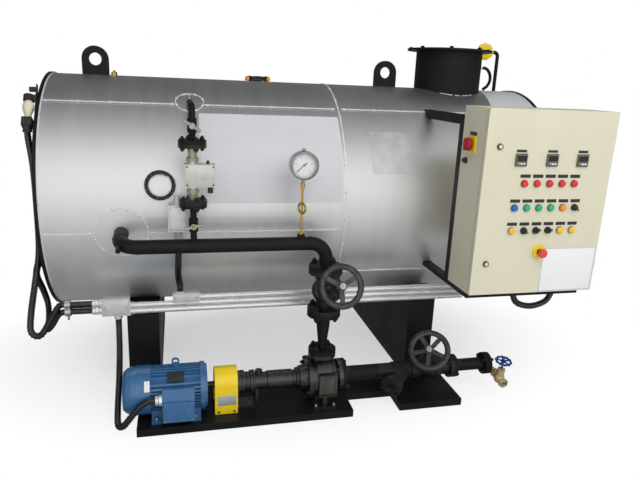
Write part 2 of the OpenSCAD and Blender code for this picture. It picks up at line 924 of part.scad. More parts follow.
module pump_casing() {
    neck_x = casing_x + casing_len;
    color("#2a2928") in_frame() {
        at_shaft(casing_x) {
            along_x() cylinder(d = casing_d, h = casing_len);
            translate([-casing_flange_t, 0, 0]) along_x() cylinder(d = casing_flange_d, h = casing_flange_t);
            translate([casing_len / 5, 0, volute_lift])
                along_x() cylinder(d = casing_d, h = casing_len * 3 / 5);
            translate([casing_len - casing_pad_w, -casing_d / 2 - casing_pad_proud, -casing_pad_h / 2])
                cube([casing_pad_w, casing_d / 2, casing_pad_h]);
            for (z = [-casing_pad_h / 2, casing_pad_h / 2 - casing_pad_rim])
                translate([casing_len - casing_pad_w, -casing_d / 2 - 2 * casing_pad_proud, z])
                    cube([casing_pad_w, casing_d / 2, casing_pad_rim]);
        }
        at_shaft(neck_x) along_x() {
            cylinder(d1 = casing_d, d2 = suction_neck_d, h = (suction_joint_x - neck_x - flange_t) / 2);
            cylinder(d = suction_neck_d, h = suction_joint_x - neck_x - flange_t / 2);
        }
        at_shaft(suction_joint_x - flange_t) along_x() cylinder(d = flange_d, h = flange_t);
        translate([riser_x, header_y, pump_h])
            cylinder(d = discharge_neck_d, h = discharge_joint_h - pump_h - flange_t / 2);
        translate([riser_x, header_y, discharge_joint_h - flange_t])
            cylinder(d = small_flange_d, h = flange_t);
        translate([riser_x - pump_foot_w / 2, header_y - pump_foot_front, base_h])
            cube([pump_foot_w, 2 * pump_foot_front, pump_foot_t]);
        translate([riser_x - pump_foot_rib_t / 2, header_y - pump_foot_front + pump_foot_t, base_h])
            cube([pump_foot_rib_t, 2 * (pump_foot_front - pump_foot_t), pump_axis_up / 2]);
        translate([riser_x - pump_foot_w / 3, header_y - casing_d / 4, base_h])
            cube([pump_foot_w * 2 / 3, casing_d / 2, pump_axis_up]);
    }
}

module bearing_bracket() {
    // Radius along the bracket, as shares of its length and of the casing diameter
    station_shares = [0, 0.09, 0.1, 0.16, 0.17, 0.24, 0.25, 0.41, 0.42, 0.78, 0.79, 0.83, 0.84, 0.88,
        0.89, 1];
    radius_shares = [0.30, 0.30, 0.25, 0.25, 0.29, 0.29, 0.22, 0.22, 0.245, 0.245, 0.22, 0.22, 0.27, 0.27,
        0.31, 0.36];
    profile = concat([[0, 0]],
        [for (i = [0 : len(station_shares) - 1])
            [radius_shares[i] * casing_d, station_shares[i] * bracket_len]],
        [[0, bracket_len]]);
    lug_x_share = 0.3;
    color("#2a2928") in_frame() difference() {
        union() {
            at_shaft(bracket_x) along_x() rotate_extrude() polygon(profile);
            translate([bracket_x, header_y - bracket_foot_front, base_h])
                cube([bracket_foot_w, 2 * bracket_foot_front, bracket_foot_t]);
            translate([bracket_x + bracket_foot_w - bracket_foot_rib_t, header_y - bracket_foot_front,
                    base_h])
                cube([bracket_foot_rib_t, 2 * bracket_foot_front,
                    pump_axis_up - casing_d * bracket_rib_share]);
            at_shaft(bracket_x + bracket_len * lug_x_share)
                cylinder(d = boss_d, h = casing_d * bracket_boss_share);
        }
        at_shaft(bracket_x - overrun)
            along_x() cylinder(d = shaft_d + 2 * seat_gap, h = coupling_len + overrun);
    }
}

module shaft_coupling() {
    shaft_start = motor_end_x - coupling_len / 2;
    shaft_end = bracket_x + coupling_len - seat_gap;
    middle_x = guard_x + guard_len / 2;
    color("#6d6d70") in_frame() {
        at_shaft(shaft_start) along_x() cylinder(d = shaft_d, h = shaft_end - shaft_start);
        at_shaft(middle_x - coupling_len - coupling_gap / 2)
            along_x() cylinder(d = coupling_d, h = coupling_len);
        at_shaft(middle_x + coupling_gap / 2) along_x() cylinder(d = coupling_d, h = coupling_len);
        at_shaft(middle_x - coupling_gap) along_x() cylinder(d = coupling_d / 2, h = 2 * coupling_gap);
    }
}

module guard_section(r) {
    translate([-r, base_h - guard_spring_h]) square([2 * r, guard_spring_h - base_h]);
    circle(r = r);
}

module coupling_guard() {
    color("#f0d20c") in_frame() translate([guard_x, header_y, guard_spring_h])
        rotate([90, 0, 90]) linear_extrude(guard_len) difference() {
            intersection() {
                guard_section(guard_r);
                translate([-guard_r, base_h - guard_spring_h])
                    square([2 * guard_r, guard_spring_h - base_h + guard_r]);
            }
            guard_section(guard_r - guard_t);
            translate([-guard_r + guard_t, base_h - guard_spring_h - overrun])
                square([2 * (guard_r - guard_t), guard_spring_h - base_h]);
        }
}

module motor_fins() {
    reach = motor_d;
    first = -(fin_count - 1) / 2;
    intersection() {
        cylinder(d = motor_d, h = motor_frame_len);
        for (i = [0 : fin_count - 1]) {
            translate([-reach / 2, (first + i) * fin_pitch - fin_t / 2, 0])
                cube([reach, fin_t, motor_frame_len]);
            translate([(first + i) * fin_pitch - fin_t / 2, -reach / 2, 0])
                cube([fin_t, reach, motor_frame_len]);
        }
    }
}

module motor_frame() {
    color("#2f639b") in_frame() difference() {
        union() {
            at_shaft(motor_frame_x) along_x() {
                cylinder(d = motor_d - 2 * fin_h, h = motor_frame_len);
                motor_fins();
            }
            at_shaft(end_shield_x) along_x() {
                cylinder(d = end_shield_d, h = end_shield_len * 2 / 3);
                cylinder(d = end_shield_d * end_shield_step_share, h = end_shield_len);
            }
            for (side = [-1, 1], end = [0, 1])
                translate([motor_frame_x + end * (motor_frame_len - motor_foot_w),
                        header_y + side * motor_foot_spread / 2 - motor_foot_spread / 2, base_h]) {
                    cube([motor_foot_w, motor_foot_spread, motor_foot_t]);
                    translate([0, motor_foot_spread / 4, 0])
                        cube([motor_foot_w, motor_foot_spread / 2, pump_axis_up - motor_d / 4]);
                }
            at_shaft(motor_frame_x + motor_frame_len / 2) {
                cylinder(d = boss_d, h = motor_d / 2 + eye_stem);
                translate([0, eye_t / 2, motor_d / 2 + eye_stem + eye_d / 3])
                    to_front() ring(eye_d, eye_hole_d, eye_t);
            }
        }
        at_shaft(motor_end_x - coupling_len) along_x()
            cylinder(d = shaft_d + 2 * seat_gap, h = coupling_len + overrun);
    }
}

module motor_fan_cover() {
    // Outline of the cover as shares of its radius and length
    radius_shares = [0.78, 0.9, 0.97, 1, 1];
    length_shares = [0, 0.12, 0.3, 0.5, 1];
    cover_r = end_shield_d / 2;
    outline = [for (i = [0 : len(radius_shares) - 1])
        [radius_shares[i] * cover_r, length_shares[i] * fan_cover_len]];
    color("#2f639b") in_frame() at_shaft(motor_x) along_x() rotate_extrude() difference() {
        polygon(concat([[0, 0]], outline, [[0, fan_cover_len]]));
        square([outline[0].x / 5, eye_t]);
    }
}

module motor_terminal_box() {
    front_y = header_y - motor_d / 2 - terminal_proud;
    back_y = header_y - motor_d / 2 + fin_h;
    low_z = base_h + motor_foot_t + terminal_lift;
    // Side outline of the box: deep below, cut back towards its top
    color("#3a6ea6") in_frame() difference() {
        union() {
            translate([terminal_x, 0, low_z]) rotate([90, 0, 90]) linear_extrude(terminal_w)
                polygon([[back_y, 0], [front_y, 0], [front_y, terminal_h - terminal_chamfer],
                    [front_y + terminal_chamfer, terminal_h], [back_y, terminal_h]]);
            at_shaft(terminal_x - motor_gland_len)
                translate([0, -motor_d / 2 - motor_gland_front, motor_gland_up])
                    along_x() cylinder(d = motor_gland_d, h = motor_gland_len);
        }
        at_shaft(motor_x) along_x() cylinder(d = motor_d + 2 * seat_gap, h = motor_end_x - motor_x);
    }
}

// Suction line

module suction_pipe() {
    pipe_end = strainer_x - strainer_back;
    color("#1c1c1d") in_frame() at_shaft(suction_joint_x) along_x() {
        cylinder(d = flange_d, h = flange_t);
        cylinder(d = suction_d, h = pipe_end - suction_joint_x);
    }
}

module strainer() {
    strainer_end = suction_valve_x - valve_len / 2;
    start = strainer_x - strainer_back;
    color("#262626") in_frame() {
        at_shaft(start) along_x() cylinder(d = suction_d, h = strainer_end - start);
        at_shaft(strainer_end - flange_t) along_x() cylinder(d = strainer_collar_d, h = flange_t);
        at_shaft(strainer_x - strainer_branch_d) along_x()
            cylinder(d = strainer_body_d, h = strainer_end - flange_t - strainer_x + strainer_branch_d);
        at_shaft(strainer_x) rotate([strainer_drop, 0, 0]) rotate([90, 0, -strainer_lean]) {
            cylinder(d = strainer_branch_d, h = strainer_branch_len);
            translate([0, 0, strainer_branch_len - strainer_cover_t])
                cylinder(d = strainer_cover_d, h = 2 * strainer_cover_t);
            cylinder(d = strainer_plug_d, h = strainer_branch_len + strainer_cover_t + strainer_plug_len);
        }
    }
}

module suction_valve() {
    color("#232324") in_frame() at_suction_valve() globe_valve_body(suction_flange_d, strainer_collar_d);
}

module suction_handwheel() {
    color("#4a4745") in_frame() at_suction_valve() handwheel(suction_spokes);
}

module return_pipe() {
    start = suction_valve_x + valve_len / 2;
    color("#1c1c1d") in_frame() {
        at_shaft(start) along_x() {
            cylinder(d = suction_flange_d, h = flange_t);
            cylinder(d = return_d, h = return_end_x - start - blind_t / 2);
        }
        at_shaft(return_end_x - blind_t) along_x() cylinder(d = blind_d, h = blind_t);
        at_shaft(return_end_x - 2 * blind_t - seat_gap) along_x() cylinder(d = blind_d, h = blind_t);
        at_shaft(return_end_x - 2 * blind_t) along_x() cylinder(d = return_d + blind_t, h = blind_t);
    }
}

module at_drain_nipple() {
    at_shaft(return_end_x) translate([0, 0, -drain_drop]) rotate([drain_tilt, 0, 0]) children();
}

module at_drain() {
    at_drain_nipple() translate([drain_bend, -drain_bend - drain_body_len / 2, 0]) children();
}

module drain_valve() {
    color("#b08a3c") in_frame() {
        at_drain_nipple() translate([0, -drain_bend, 0]) bend(drain_bend, drain_nipple_d, 90);
        at_drain() difference() {
            union() {
                translate([0, drain_body_len / 2, 0])
                    to_front() cylinder(d = drain_nipple_d, h = drain_body_len);
                for (y = [drain_body_len / 2, drain_hex_len - drain_body_len / 2])
                    translate([0, y, 0])
                        to_front() rotate([0, 0, 30]) cylinder(d = drain_hex_d, h = drain_hex_len, $fn = 6);
                sphere(d = drain_body_d);
                cylinder(d = drain_bonnet_d, h = drain_bonnet_h);
            }
            translate([0, 0, drain_body_d / 4]) cylinder(d = drain_stem_d + 2 * stem_gap, h = drain_stem_h);
            translate([0, drain_bore - drain_body_len / 2, 0])
                to_front() cylinder(d = drain_bore, h = drain_body_len);
        }
    }
}

module drain_handwheel() {
    color("#2450a8") in_frame() at_drain() {
        translate([0, 0, drain_body_d / 4 + seat_gap])
            cylinder(d = drain_stem_d, h = drain_stem_h - drain_body_d / 4);
        translate([0, 0, drain_stem_h]) {
            rotate_extrude() translate([(drain_wheel_d - drain_wheel_t) / 2, 0]) circle(d = drain_wheel_t);
            translate([0, 0, -drain_hub_len / 2]) cylinder(d = drain_hub_d, h = drain_hub_len);
            for (i = [0 : drain_spokes - 1])
                rotate([0, 0, 360 / drain_spokes * i]) translate([0, -drain_spoke_w / 2, -drain_spoke_w / 4])
                    cube([(drain_wheel_d - drain_wheel_t) / 2, drain_spoke_w, drain_spoke_w / 2]);
        }
    }
}

// Bypass line, gauge and sensor

module bypass_cock(z) {
    translate([0, 0, z - cock_len / 2]) cylinder(d = cock_d, h = cock_len);
    translate([0, 0, z]) to_front() cylinder(d = cock_gland_d, h = cock_d / 2 + cock_gland_len);
}

module cock_bore(z) {
    translate([0, -cock_d / 4, z]) to_front() cylinder(d = cock_stem_d + 2 * stem_gap, h = cock_d);
}

module bypass_lower() {
    pipe_bottom = header_z + header_d / 2 - overrun;
    color("#1c1c1d") in_frame() translate([bypass_x, header_y, 0]) difference() {
        union() {
            translate([0, 0, pipe_bottom]) cylinder(d = bypass_d, h = lower_joint_h - pipe_bottom);
            bypass_cock(lower_cock_h);
            translate([0, 0, lower_joint_h - bypass_flange_t])
                cylinder(d = bypass_flange_d, h = bypass_flange_t);
        }
        cock_bore(lower_cock_h);
        translate([-header_d, 0, header_z]) along_x() cylinder(d = header_d + 2 * seat_gap, h = 2 * header_d);
    }
}

module bypass_upper() {
    drum_front = sqrt(drum_r * drum_r - (bypass_top_h - drum_axis_h) * (bypass_top_h - drum_axis_h));
    color("#1c1c1d") in_frame() translate([bypass_x, header_y, 0]) difference() {
        union() {
            translate([0, 0, upper_joint_h]) {
                cylinder(d = bypass_flange_d, h = bypass_flange_t);
                cylinder(d = bypass_d, h = bypass_top_h - bypass_bend - upper_joint_h);
            }
            bypass_cock(upper_cock_h);
            translate([0, bypass_bend, bypass_top_h - bypass_bend])
                rotate([90, 0, 90]) rotate([0, 0, 90]) bend(bypass_bend, bypass_d, 90);
            translate([0, -header_y - drum_front + nozzle_depth, bypass_top_h])
                to_front() cylinder(d = bypass_d, h = -header_y - bypass_bend - drum_front + nozzle_depth);
        }
        cock_bore(upper_cock_h);
    }
}

module flow_switch() {
    color("#c9c5b8") in_frame() translate([bypass_x, header_y, 0]) {
        translate([-switch_left, -switch_depth / 2, switch_z]) cube([switch_w, switch_depth, switch_h]);
        translate([0, 0, lower_joint_h]) {
            cylinder(d = bypass_flange_d, h = bypass_flange_t);
            cylinder(d = switch_neck_d, h = upper_joint_h - lower_joint_h);
        }
        translate([0, 0, upper_joint_h - bypass_flange_t]) cylinder(d = bypass_flange_d, h = bypass_flange_t);
        translate([0, 0, switch_z - switch_nut_len])
            cylinder(d = switch_nut_d, h = switch_h + 2 * switch_nut_len);
        translate([switch_w - switch_left - switch_plug_inset, 0, switch_z - switch_plug_len])
            cylinder(d = switch_plug_d, h = switch_plug_len);
        translate([switch_w / 2, 0, switch_z + switch_h]) cylinder(d = switch_knob_d, h = switch_knob_len);
    }
}

module lever(z, turn) {
    stem_back = cock_d / 4 + seat_gap;
    lever_back = cock_d / 2 + cock_gland_len + lever_gap;
    color("#c4c6c8") in_frame() translate([bypass_x, header_y, z]) rotate([0, turn, 0]) to_front() {
        translate([0, 0, stem_back]) cylinder(d = cock_stem_d, h = lever_back - stem_back);
        translate([0, 0, lever_back]) cylinder(d = cock_stem_d + lever_w, h = lever_t);
        translate([-lever_len / 2, -lever_w / 2, lever_back]) cube([lever_len, lever_w, lever_t]);
    }
}

module lower_lever() lever(lower_cock_h, lower_lever_a);

module upper_lever() lever(upper_cock_h, upper_lever_a);

module gauge_siphon() {
    boss_top = header_z + header_d / 2 + boss_len / 2;
    gauge_foot = gauge_h - gauge_d / 2 - gauge_neck_len;
    color("#b28a2e") in_frame() translate([gauge_x, header_y, 0]) {
        translate([0, 0, boss_top]) cylinder(d = siphon_nut_d, h = siphon_nut_len / 2);
        translate([0, 0, boss_top]) cylinder(d = siphon_d, h = gauge_foot - boss_top);
        translate([0, 0, gauge_foot - siphon_nut_len]) cylinder(d = siphon_nut_d, h = siphon_nut_len);
        translate([0, 0, siphon_loop_h]) rotate([0, 90, siphon_turn])
            rotate_extrude() translate([siphon_loop_r, 0]) circle(d = siphon_d);
    }
}

module pressure_gauge() {
    color("#c8c9ca") in_frame() translate([gauge_x, header_y, gauge_h]) {
        translate([0, gauge_t / 2, 0]) to_front() cylinder(d = gauge_d - lever_t, h = gauge_t - lever_w);
        translate([0, gauge_t / 2 - lever_w, 0])
            to_front() ring(gauge_d, gauge_d - lever_w, gauge_t - lever_w);
        translate([0, 0, -gauge_d / 2 - gauge_neck_len]) cylinder(d = gauge_neck_d, h = gauge_d / 2);
        cylinder(d = gauge_plug_d, h = gauge_d / 2 + gauge_plug_len);
    }
}

module sensor_head() {
    color("#bfc1c2") in_frame() translate([sensor_x, sensor_y, sensor_z]) {
        translate([-sensor_w / 2, -sensor_d / 2, -sensor_h / 2]) cube([sensor_w, sensor_d, sensor_h]);
        translate([-sensor_w / 2 - sensor_lid_rim, -sensor_d / 2 - sensor_lid_t,
                -sensor_h / 2 - sensor_lid_rim])
            cube([sensor_w + 2 * sensor_lid_rim, sensor_lid_t, sensor_h + 2 * sensor_lid_rim]);
        translate([0, 0, -sensor_h / 2 - sensor_neck_h]) cylinder(d = sensor_neck_d, h = sensor_neck_h);
        translate([0, 0, sensor_h / 2]) cylinder(d = sensor_neck_d, h = sensor_neck_h / 2);
        translate([0, 0, sensor_h / 2]) cylinder(d = sensor_gland_d, h = sensor_neck_h / 2 + sensor_gland_h);
        translate([0, sensor_gap + sensor_d / 2 + nozzle_depth, 0])
            to_front() cylinder(d = sensor_stub_d, h = sensor_gap + sensor_d / 2 + nozzle_depth);
    }
}

module cable_coil() {
    color("#1b1b1c") in_frame() on_radius(-coil_lean) translate([coil_x, -drum_r - coil_t / 2 - seat_gap, 0])
        to_front() rotate_extrude() translate([coil_mid_d / 2, 0]) circle(d = coil_t);
}

// Conduits and boxes

module conduit(x0, row) {
    translate([x0, conduit_y, conduit_low_h + row * conduit_pitch])
        along_x() {
            cylinder(d = conduit_d, h = conduit_end_x - x0);
            cylinder(d = conduit_d + conduit_nut, h = connector_len);
            translate([0, 0, conduit_end_x - x0 - connector_len / 2])
                cylinder(d = conduit_d + conduit_nut, h = connector_len);
        }
}

module conduits() {
    box_left_end = box_left_x + box_left_w;
    color("#c5c7c8") in_frame() {
        for (row = [0, 1]) conduit(box_left_end, row);
        conduit(box_right_x + box_right_w, 2);
    }
}

module conduit_box(x, z, w, h) {
    translate([x, -saddle_front - box_depth, z]) {
        cube([w, box_depth, h]);
        translate([-box_lid_rim, -box_lid_t, -box_lid_rim])
            cube([w + 2 * box_lid_rim, box_lid_t, h + 2 * box_lid_rim]);
    }
}

module hose_socket(route, side) {
    place = route[side == 0 ? 0 : len(route) - 1];
    translate(place) children();
}

module conduit_boxes() {
    color("#cfd0cf") in_frame() {
        conduit_box(box_left_x, box_left_z, box_left_w, box_left_h);
        conduit_box(box_right_x, box_right_z, box_right_w, box_right_h);
        for (route = [burner_hose_route, pilot_hose_route])
            hose_socket(route, 1)
                along_x() cylinder(d = connector_d, h = box_left_x - route[len(route) - 1].x);
        hose_socket(motor_hose_route, 0) cylinder(d = connector_d, h = box_left_z - motor_hose_route[0].z);
    }
}

module hose_clip() {
    bar_y = conduit_y + connector_d / 2 + seat_gap;
    bar_z = hose_low_h + hose_pitch / 2 - clip_bar_w / 2;
    ring_d = hose_d + clip_slack + 2 * clip_wall;
    color("#c4c6c8") in_frame() difference() {
        union() {
            for (row = [0, 1])
                translate([clip_x, conduit_y, hose_low_h + row * hose_pitch])
                    along_x() cylinder(d = ring_d, h = clip_w);
            translate([clip_x, bar_y, bar_z])
                cube([box_left_x + box_left_w / 2 - clip_x, clip_bar_t, clip_bar_w]);
            translate([box_left_x + box_lid_t, -saddle_front, bar_z])
                cube([box_left_w / 2 - box_lid_t, bar_y + clip_bar_t + saddle_front, clip_bar_w]);
            translate([clip_x + clip_w / 2, conduit_y, hose_low_h - clip_screw_len])
                cylinder(d = clip_screw_d, h = clip_screw_len);
        }
        for (row = [0, 1])
            translate([clip_x - overrun, conduit_y, hose_low_h + row * hose_pitch])
                along_x() cylinder(d = hose_d + clip_slack, h = clip_w + 2 * overrun);
    }
}

// Cabinet

module cabinet_body() {
    color("#ded8bf") in_frame() {
        translate([cabinet_x, cabinet_front_y, cabinet_z]) difference() {
            cube([cabinet_w, cabinet_depth, cabinet_h]);
            translate([cabinet_sheet_t, -overrun, cabinet_sheet_t])
                cube([cabinet_w - 2 * cabinet_sheet_t, cabinet_depth - cabinet_sheet_t + overrun,
                    cabinet_h - 2 * cabinet_sheet_t]);
        }
        for (share = hinge_shares) translate([hinge_x, hinge_y, cabinet_z + share * cabinet_h]) {
            cylinder(d = hinge_d, h = hinge_half);
            cylinder(d = hinge_pin_d, h = 2 * hinge_half);
            translate([cabinet_right_x - hinge_x, 0, 0]) cube([hinge_d / 2, hinge_leaf, hinge_half]);
        }
        for (place = [cabinet_hose_route[0], cabinet_hose_route[len(cabinet_hose_route) - 1]])
            translate(place) cylinder(d = cabinet_gland_d, h = cabinet_z + cabinet_sheet_t - place.z);
    }
}

module cabinet_door() {
    color("#e2dcc3") in_frame() {
        translate([cabinet_x, door_front_y, cabinet_z]) difference() {
            cube([cabinet_w, door_t, cabinet_h]);
            translate([door_lip_t, door_lip_t, door_lip_t])
                cube([cabinet_w - 2 * door_lip_t, door_t, cabinet_h - 2 * door_lip_t]);
        }
        for (share = lock_row_shares)
            translate([cabinet_x + lock_share * cabinet_w, door_front_y, cabinet_z + share * cabinet_h])
                to_front() cylinder(d = lock_d, h = lock_h);
        for (share = hinge_shares)
            translate([hinge_x, hinge_y, cabinet_z + share * cabinet_h + hinge_half + seat_gap])
            difference() {
                union() {
                    cylinder(d = hinge_d, h = hinge_half);
                    translate([cabinet_right_x - hinge_x - door_lip_t, -hinge_door_leaf, 0])
                        cube([hinge_d / 2 + door_lip_t, hinge_door_leaf, hinge_half]);
                }
                translate([0, 0, -overrun])
                    cylinder(d = hinge_pin_d + 2 * stem_gap, h = hinge_half + 2 * overrun);
            }
    }
}

module door_controllers() {
    color("#4a4a4c") in_frame()
        for (i = [0 : controller_count - 1])
            translate([cabinet_x + (controller_share + i * controller_pitch_share) * cabinet_w,
                    door_front_y - controller_h, cabinet_z + controller_row_share * cabinet_h])
                translate([-controller_w / 2, 0, -controller_w / 2])
                    cube([controller_w, controller_h, controller_w]);
}

module door_buttons() {
    color("#d43a36") in_frame()
        for (row = [0 : len(button_count) - 1], i = [0 : button_count[row] - 1])
            translate([cabinet_x + (button_first_shares[row] + i * button_pitch_shares[row]) * cabinet_w,
                    door_front_y, cabinet_z + button_row_shares[row] * cabinet_h])
                to_front() cylinder(d = button_d, h = button_h);
}

module emergency_stop() {
    stop_x = cabinet_x + stop_share * cabinet_w;
    stop_z = cabinet_z + stop_row_share * cabinet_h;
    color("#d9302c") in_frame() translate([stop_x, door_front_y, stop_z]) to_front() {
        cylinder(d = stop_base_d, h = stop_base_h);
        cylinder(d = stop_neck_d, h = stop_base_h + stop_neck_h);
        translate([0, 0, stop_base_h + stop_neck_h]) cylinder(d = stop_cap_d, h = stop_cap_h);
    }
}

module isolator_plate() {
    color("#eed016") in_frame() {
        translate([cabinet_x, isolator_y, isolator_z]) rotate([0, -90, 0]) difference() {
            translate([-isolator_w / 2, -isolator_w / 2, 0]) cube([isolator_w, isolator_w, isolator_t]);
            translate([0, 0, isolator_t / 4]) cylinder(d = isolator_pin_d + 2 * stem_gap, h = isolator_t);
        }
        translate([cabinet_x - latch_len, cabinet_back_y - latch_share * cabinet_depth,
                cabinet_z + latch_row_share * cabinet_h])
            along_x() cylinder(d = latch_d, h = latch_len);
    }
}

module isolator_handle() {
    knob_z = isolator_t + isolator_gap;
    pin_z = isolator_t / 4 + seat_gap;
    color("#c62a28") in_frame() translate([cabinet_x, isolator_y, isolator_z]) rotate([0, -90, 0]) {
        translate([0, 0, pin_z]) cylinder(d = isolator_pin_d, h = knob_z - pin_z);
        translate([0, 0, knob_z]) cylinder(d = isolator_knob_d, h = isolator_knob_t);
        translate([-isolator_knob_d / 2, -isolator_grip_t / 2, knob_z])
            cube([isolator_knob_d, isolator_grip_t, isolator_knob_t + isolator_grip_h]);
    }
}

module angle_bar(len) {
    linear_extrude(len) difference() {
        square(angle_w);
        translate([angle_t, angle_t]) square(angle_w);
    }
}

module bracket_arm(x, z, len, h) {
    difference() {
        translate([x, cabinet_back_y + cabinet_back - len, z]) cube([angle_w, len, h]);
        translate([x + angle_t, cabinet_back_y + cabinet_back - len - overrun, z - overrun])
            cube([angle_w, len + 2 * overrun, h - angle_t + overrun]);
        drum_space(seat_gap);
    }
}

module cabinet_bracket() {
    rail_z = cabinet_z - rail_h;
    right_x = cabinet_right_x - arm_right_inset - angle_w;
    color("#171718") in_frame() {
        bracket_arm(cabinet_x, arm_top_z, cabinet_back, angle_w);
        bracket_arm(cabinet_x, rail_z, -cabinet_front_y, rail_h);
        bracket_arm(right_x, rail_z, -cabinet_front_y, rail_h);
        bracket_arm(right_x, arm_top_z, cabinet_back, angle_w);
        for (x = [cabinet_x, right_x])
            translate([x, cabinet_back_y, rail_z]) angle_bar(arm_top_z + angle_w - rail_z);
        translate([cabinet_x, cabinet_front_y, rail_z]) {
            cube([right_x + angle_w - cabinet_x, angle_w, angle_t]);
            cube([right_x + angle_w - cabinet_x, angle_t, rail_h]);
        }
    }
}

// Left end lamp

module at_lamp() {
    translate([-lamp_reach / 2, lamp_y, lamp_z]) rotate([-lamp_lean, 0, 0]) children();
}

module lamp_socket() {
    color("#161617") in_frame() at_lamp() {
        translate([-lamp_block / 2, -lamp_block / 2, -lamp_block / 2])
            cube([lamp_block, lamp_block, lamp_block]);
        translate([lamp_reach / 2 - lamp_strap_t, -lamp_strap_w / 2, -lamp_block / 2])
            cube([lamp_strap_t, lamp_strap_w, lamp_len + lamp_block / 2]);
        translate([0, 0, lamp_block / 2 + lamp_bulb_h]) {
            cylinder(d = lamp_hood_d, h = lamp_hood_h);
            translate([0, -lamp_strap_w / 2, 0]) cube([lamp_reach / 2, lamp_strap_w, lamp_hood_h]);
        }
        translate([0, 0, lamp_len - lamp_knob_d]) along_x() cylinder(d = lamp_knob_d, h = lamp_reach / 2);
    }
    color("#161617") in_frame() translate(burner_hose_route[0])
        cylinder(d = lamp_gland_d, h = lamp_gland_len);
}

module lamp_bulb() {
    // Outline of the bulb as shares of its width and height
    width_shares = [0.26, 0.3, 0.5, 0.5, 0.4, 0.26];
    height_shares = [0, 0.2, 0.55, 0.72, 0.9, 1];
    color("#ddd6c0") in_frame() at_lamp() translate([0, 0, lamp_block / 2]) rotate_extrude()
        polygon(concat([[0, 0]],
            [for (i = [0 : len(width_shares) - 1])
                [width_shares[i] * lamp_bulb_d, height_shares[i] * lamp_bulb_h]],
            [[0, lamp_bulb_h]]));
}

// Flexible hoses

module motor_hose() hose(motor_hose_route, [1, 0, 0]);

module burner_hose() hose(burner_hose_route, [1, 0, 0]);

module pilot_hose() hose(pilot_hose_route, [0, 1, 0]);

module sensor_hose() hose(sensor_hose_route, [1, 0, 0]);

module cabinet_hose() hose(cabinet_hose_route, [0, 1, 0]);

cladding_left();
cladding_right();
end_plate_left();
end_plate_right();
saddle_left();
saddle_right();
pump_skid();
right_foot_plate();
link_plate();
flue();
lifting_lugs();
header_pipe();
discharge_valve();
discharge_handwheel();
riser();
pump_casing();
bearing_bracket();
shaft_coupling();
coupling_guard();
motor_frame();
motor_fan_cover();
motor_terminal_box();
suction_pipe();
strainer();
suction_valve();
suction_handwheel();
return_pipe();
drain_valve();
drain_handwheel();
bypass_lower();
flow_switch();
bypass_upper();
lower_lever();
upper_lever();
pressure_gauge();
gauge_siphon();
sensor_head();
cable_coil();
conduits();
conduit_boxes();
hose_clip();
cabinet_body();
cabinet_door();
cabinet_bracket();
door_controllers();
door_buttons();
emergency_stop();
isolator_plate();
isolator_handle();
vent_pipe();
vent_cap();
lamp_socket();
lamp_bulb();
motor_hose();
burner_hose();
pilot_hose();
sensor_hose();
cabinet_hose();
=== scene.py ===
from math import asin, cos, pi, radians as rad, sin, sqrt

import bmesh
import bpy
from mathutils import Matrix, Vector


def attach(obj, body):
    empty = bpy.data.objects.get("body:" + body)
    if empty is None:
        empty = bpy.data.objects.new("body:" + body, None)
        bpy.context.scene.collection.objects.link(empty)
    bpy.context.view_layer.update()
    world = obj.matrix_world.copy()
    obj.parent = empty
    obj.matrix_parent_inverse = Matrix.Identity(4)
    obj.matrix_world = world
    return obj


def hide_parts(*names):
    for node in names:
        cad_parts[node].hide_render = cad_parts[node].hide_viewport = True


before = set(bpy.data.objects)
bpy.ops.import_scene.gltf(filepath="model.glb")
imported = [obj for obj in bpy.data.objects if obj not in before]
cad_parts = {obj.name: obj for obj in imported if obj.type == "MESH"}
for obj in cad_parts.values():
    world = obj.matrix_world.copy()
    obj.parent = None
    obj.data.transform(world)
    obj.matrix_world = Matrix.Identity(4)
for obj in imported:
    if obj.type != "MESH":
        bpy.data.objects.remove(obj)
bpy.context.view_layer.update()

scene = bpy.context.scene
scene.view_settings.view_transform = "Standard"

# Working frame of the part's source, in millimetres: x along the drum, y from its axis, z from the floor
ORIGIN_X, ORIGIN_Y = 1186.0, -223.0
AXIS_H, DRUM_R = 915.0, 560.0
NOZZLE, NOZZLE_X, NOZZLE_REACH = rad(9.3), 335, 704
LINE_Y = -NOZZLE_REACH * cos(NOZZLE)
LINE_Z = AXIS_H - NOZZLE_REACH * sin(NOZZLE)
PUMP_Z, SKID_TOP = 150, 49
RISER_X, VALVE_Z, SUCTION_X, FLUE_X = 1210, 580, 1775, 2036
BYPASS_X, BYPASS_ANGLE = 635, rad(54.9)
BYPASS_SPAN = AXIS_H + DRUM_R * sin(BYPASS_ANGLE) - LINE_Z
RIGHT, LEFT, FRONT, UP = (1, 0, 0), (-1, 0, 0), (0, -1, 0), (0, 0, 1)
TO_METRES = Matrix.Scale(0.001, 4)


def metres(x, y, z):
    """A place given in the source's millimetres, in the frame's metres."""
    return Vector(((x - ORIGIN_X) / 1000, (y - ORIGIN_Y) / 1000, z / 1000))


def at(x, y, z, axis=UP, side=RIGHT):
    """Matrix that puts a shape drawn in mm at a place, its z along axis and its x towards side."""
    w = Vector(axis).normalized()
    u = Vector(side)
    u = u - u.dot(w) * w
    if u.length < 1e-6:
        u = Vector((0, 1, 0)) - w.y * w
    u.normalize()
    v = w.cross(u)
    turn = Matrix((u, v, w)).transposed().to_4x4()
    return Matrix.Translation(metres(x, y, z)) @ turn @ TO_METRES


def shift(x=0.0, y=0.0, z=0.0):
    return Matrix.Translation((x, y, z))


def spin(turn):
    return Matrix.Rotation(turn, 4, "Z")


def around(count, radius, start=0.0):
    """Angles evenly round a circle, each with the shift that leads to it."""
    for k in range(count):
        t = start + 2 * pi * k / count
        yield t, shift(radius * cos(t), radius * sin(t))


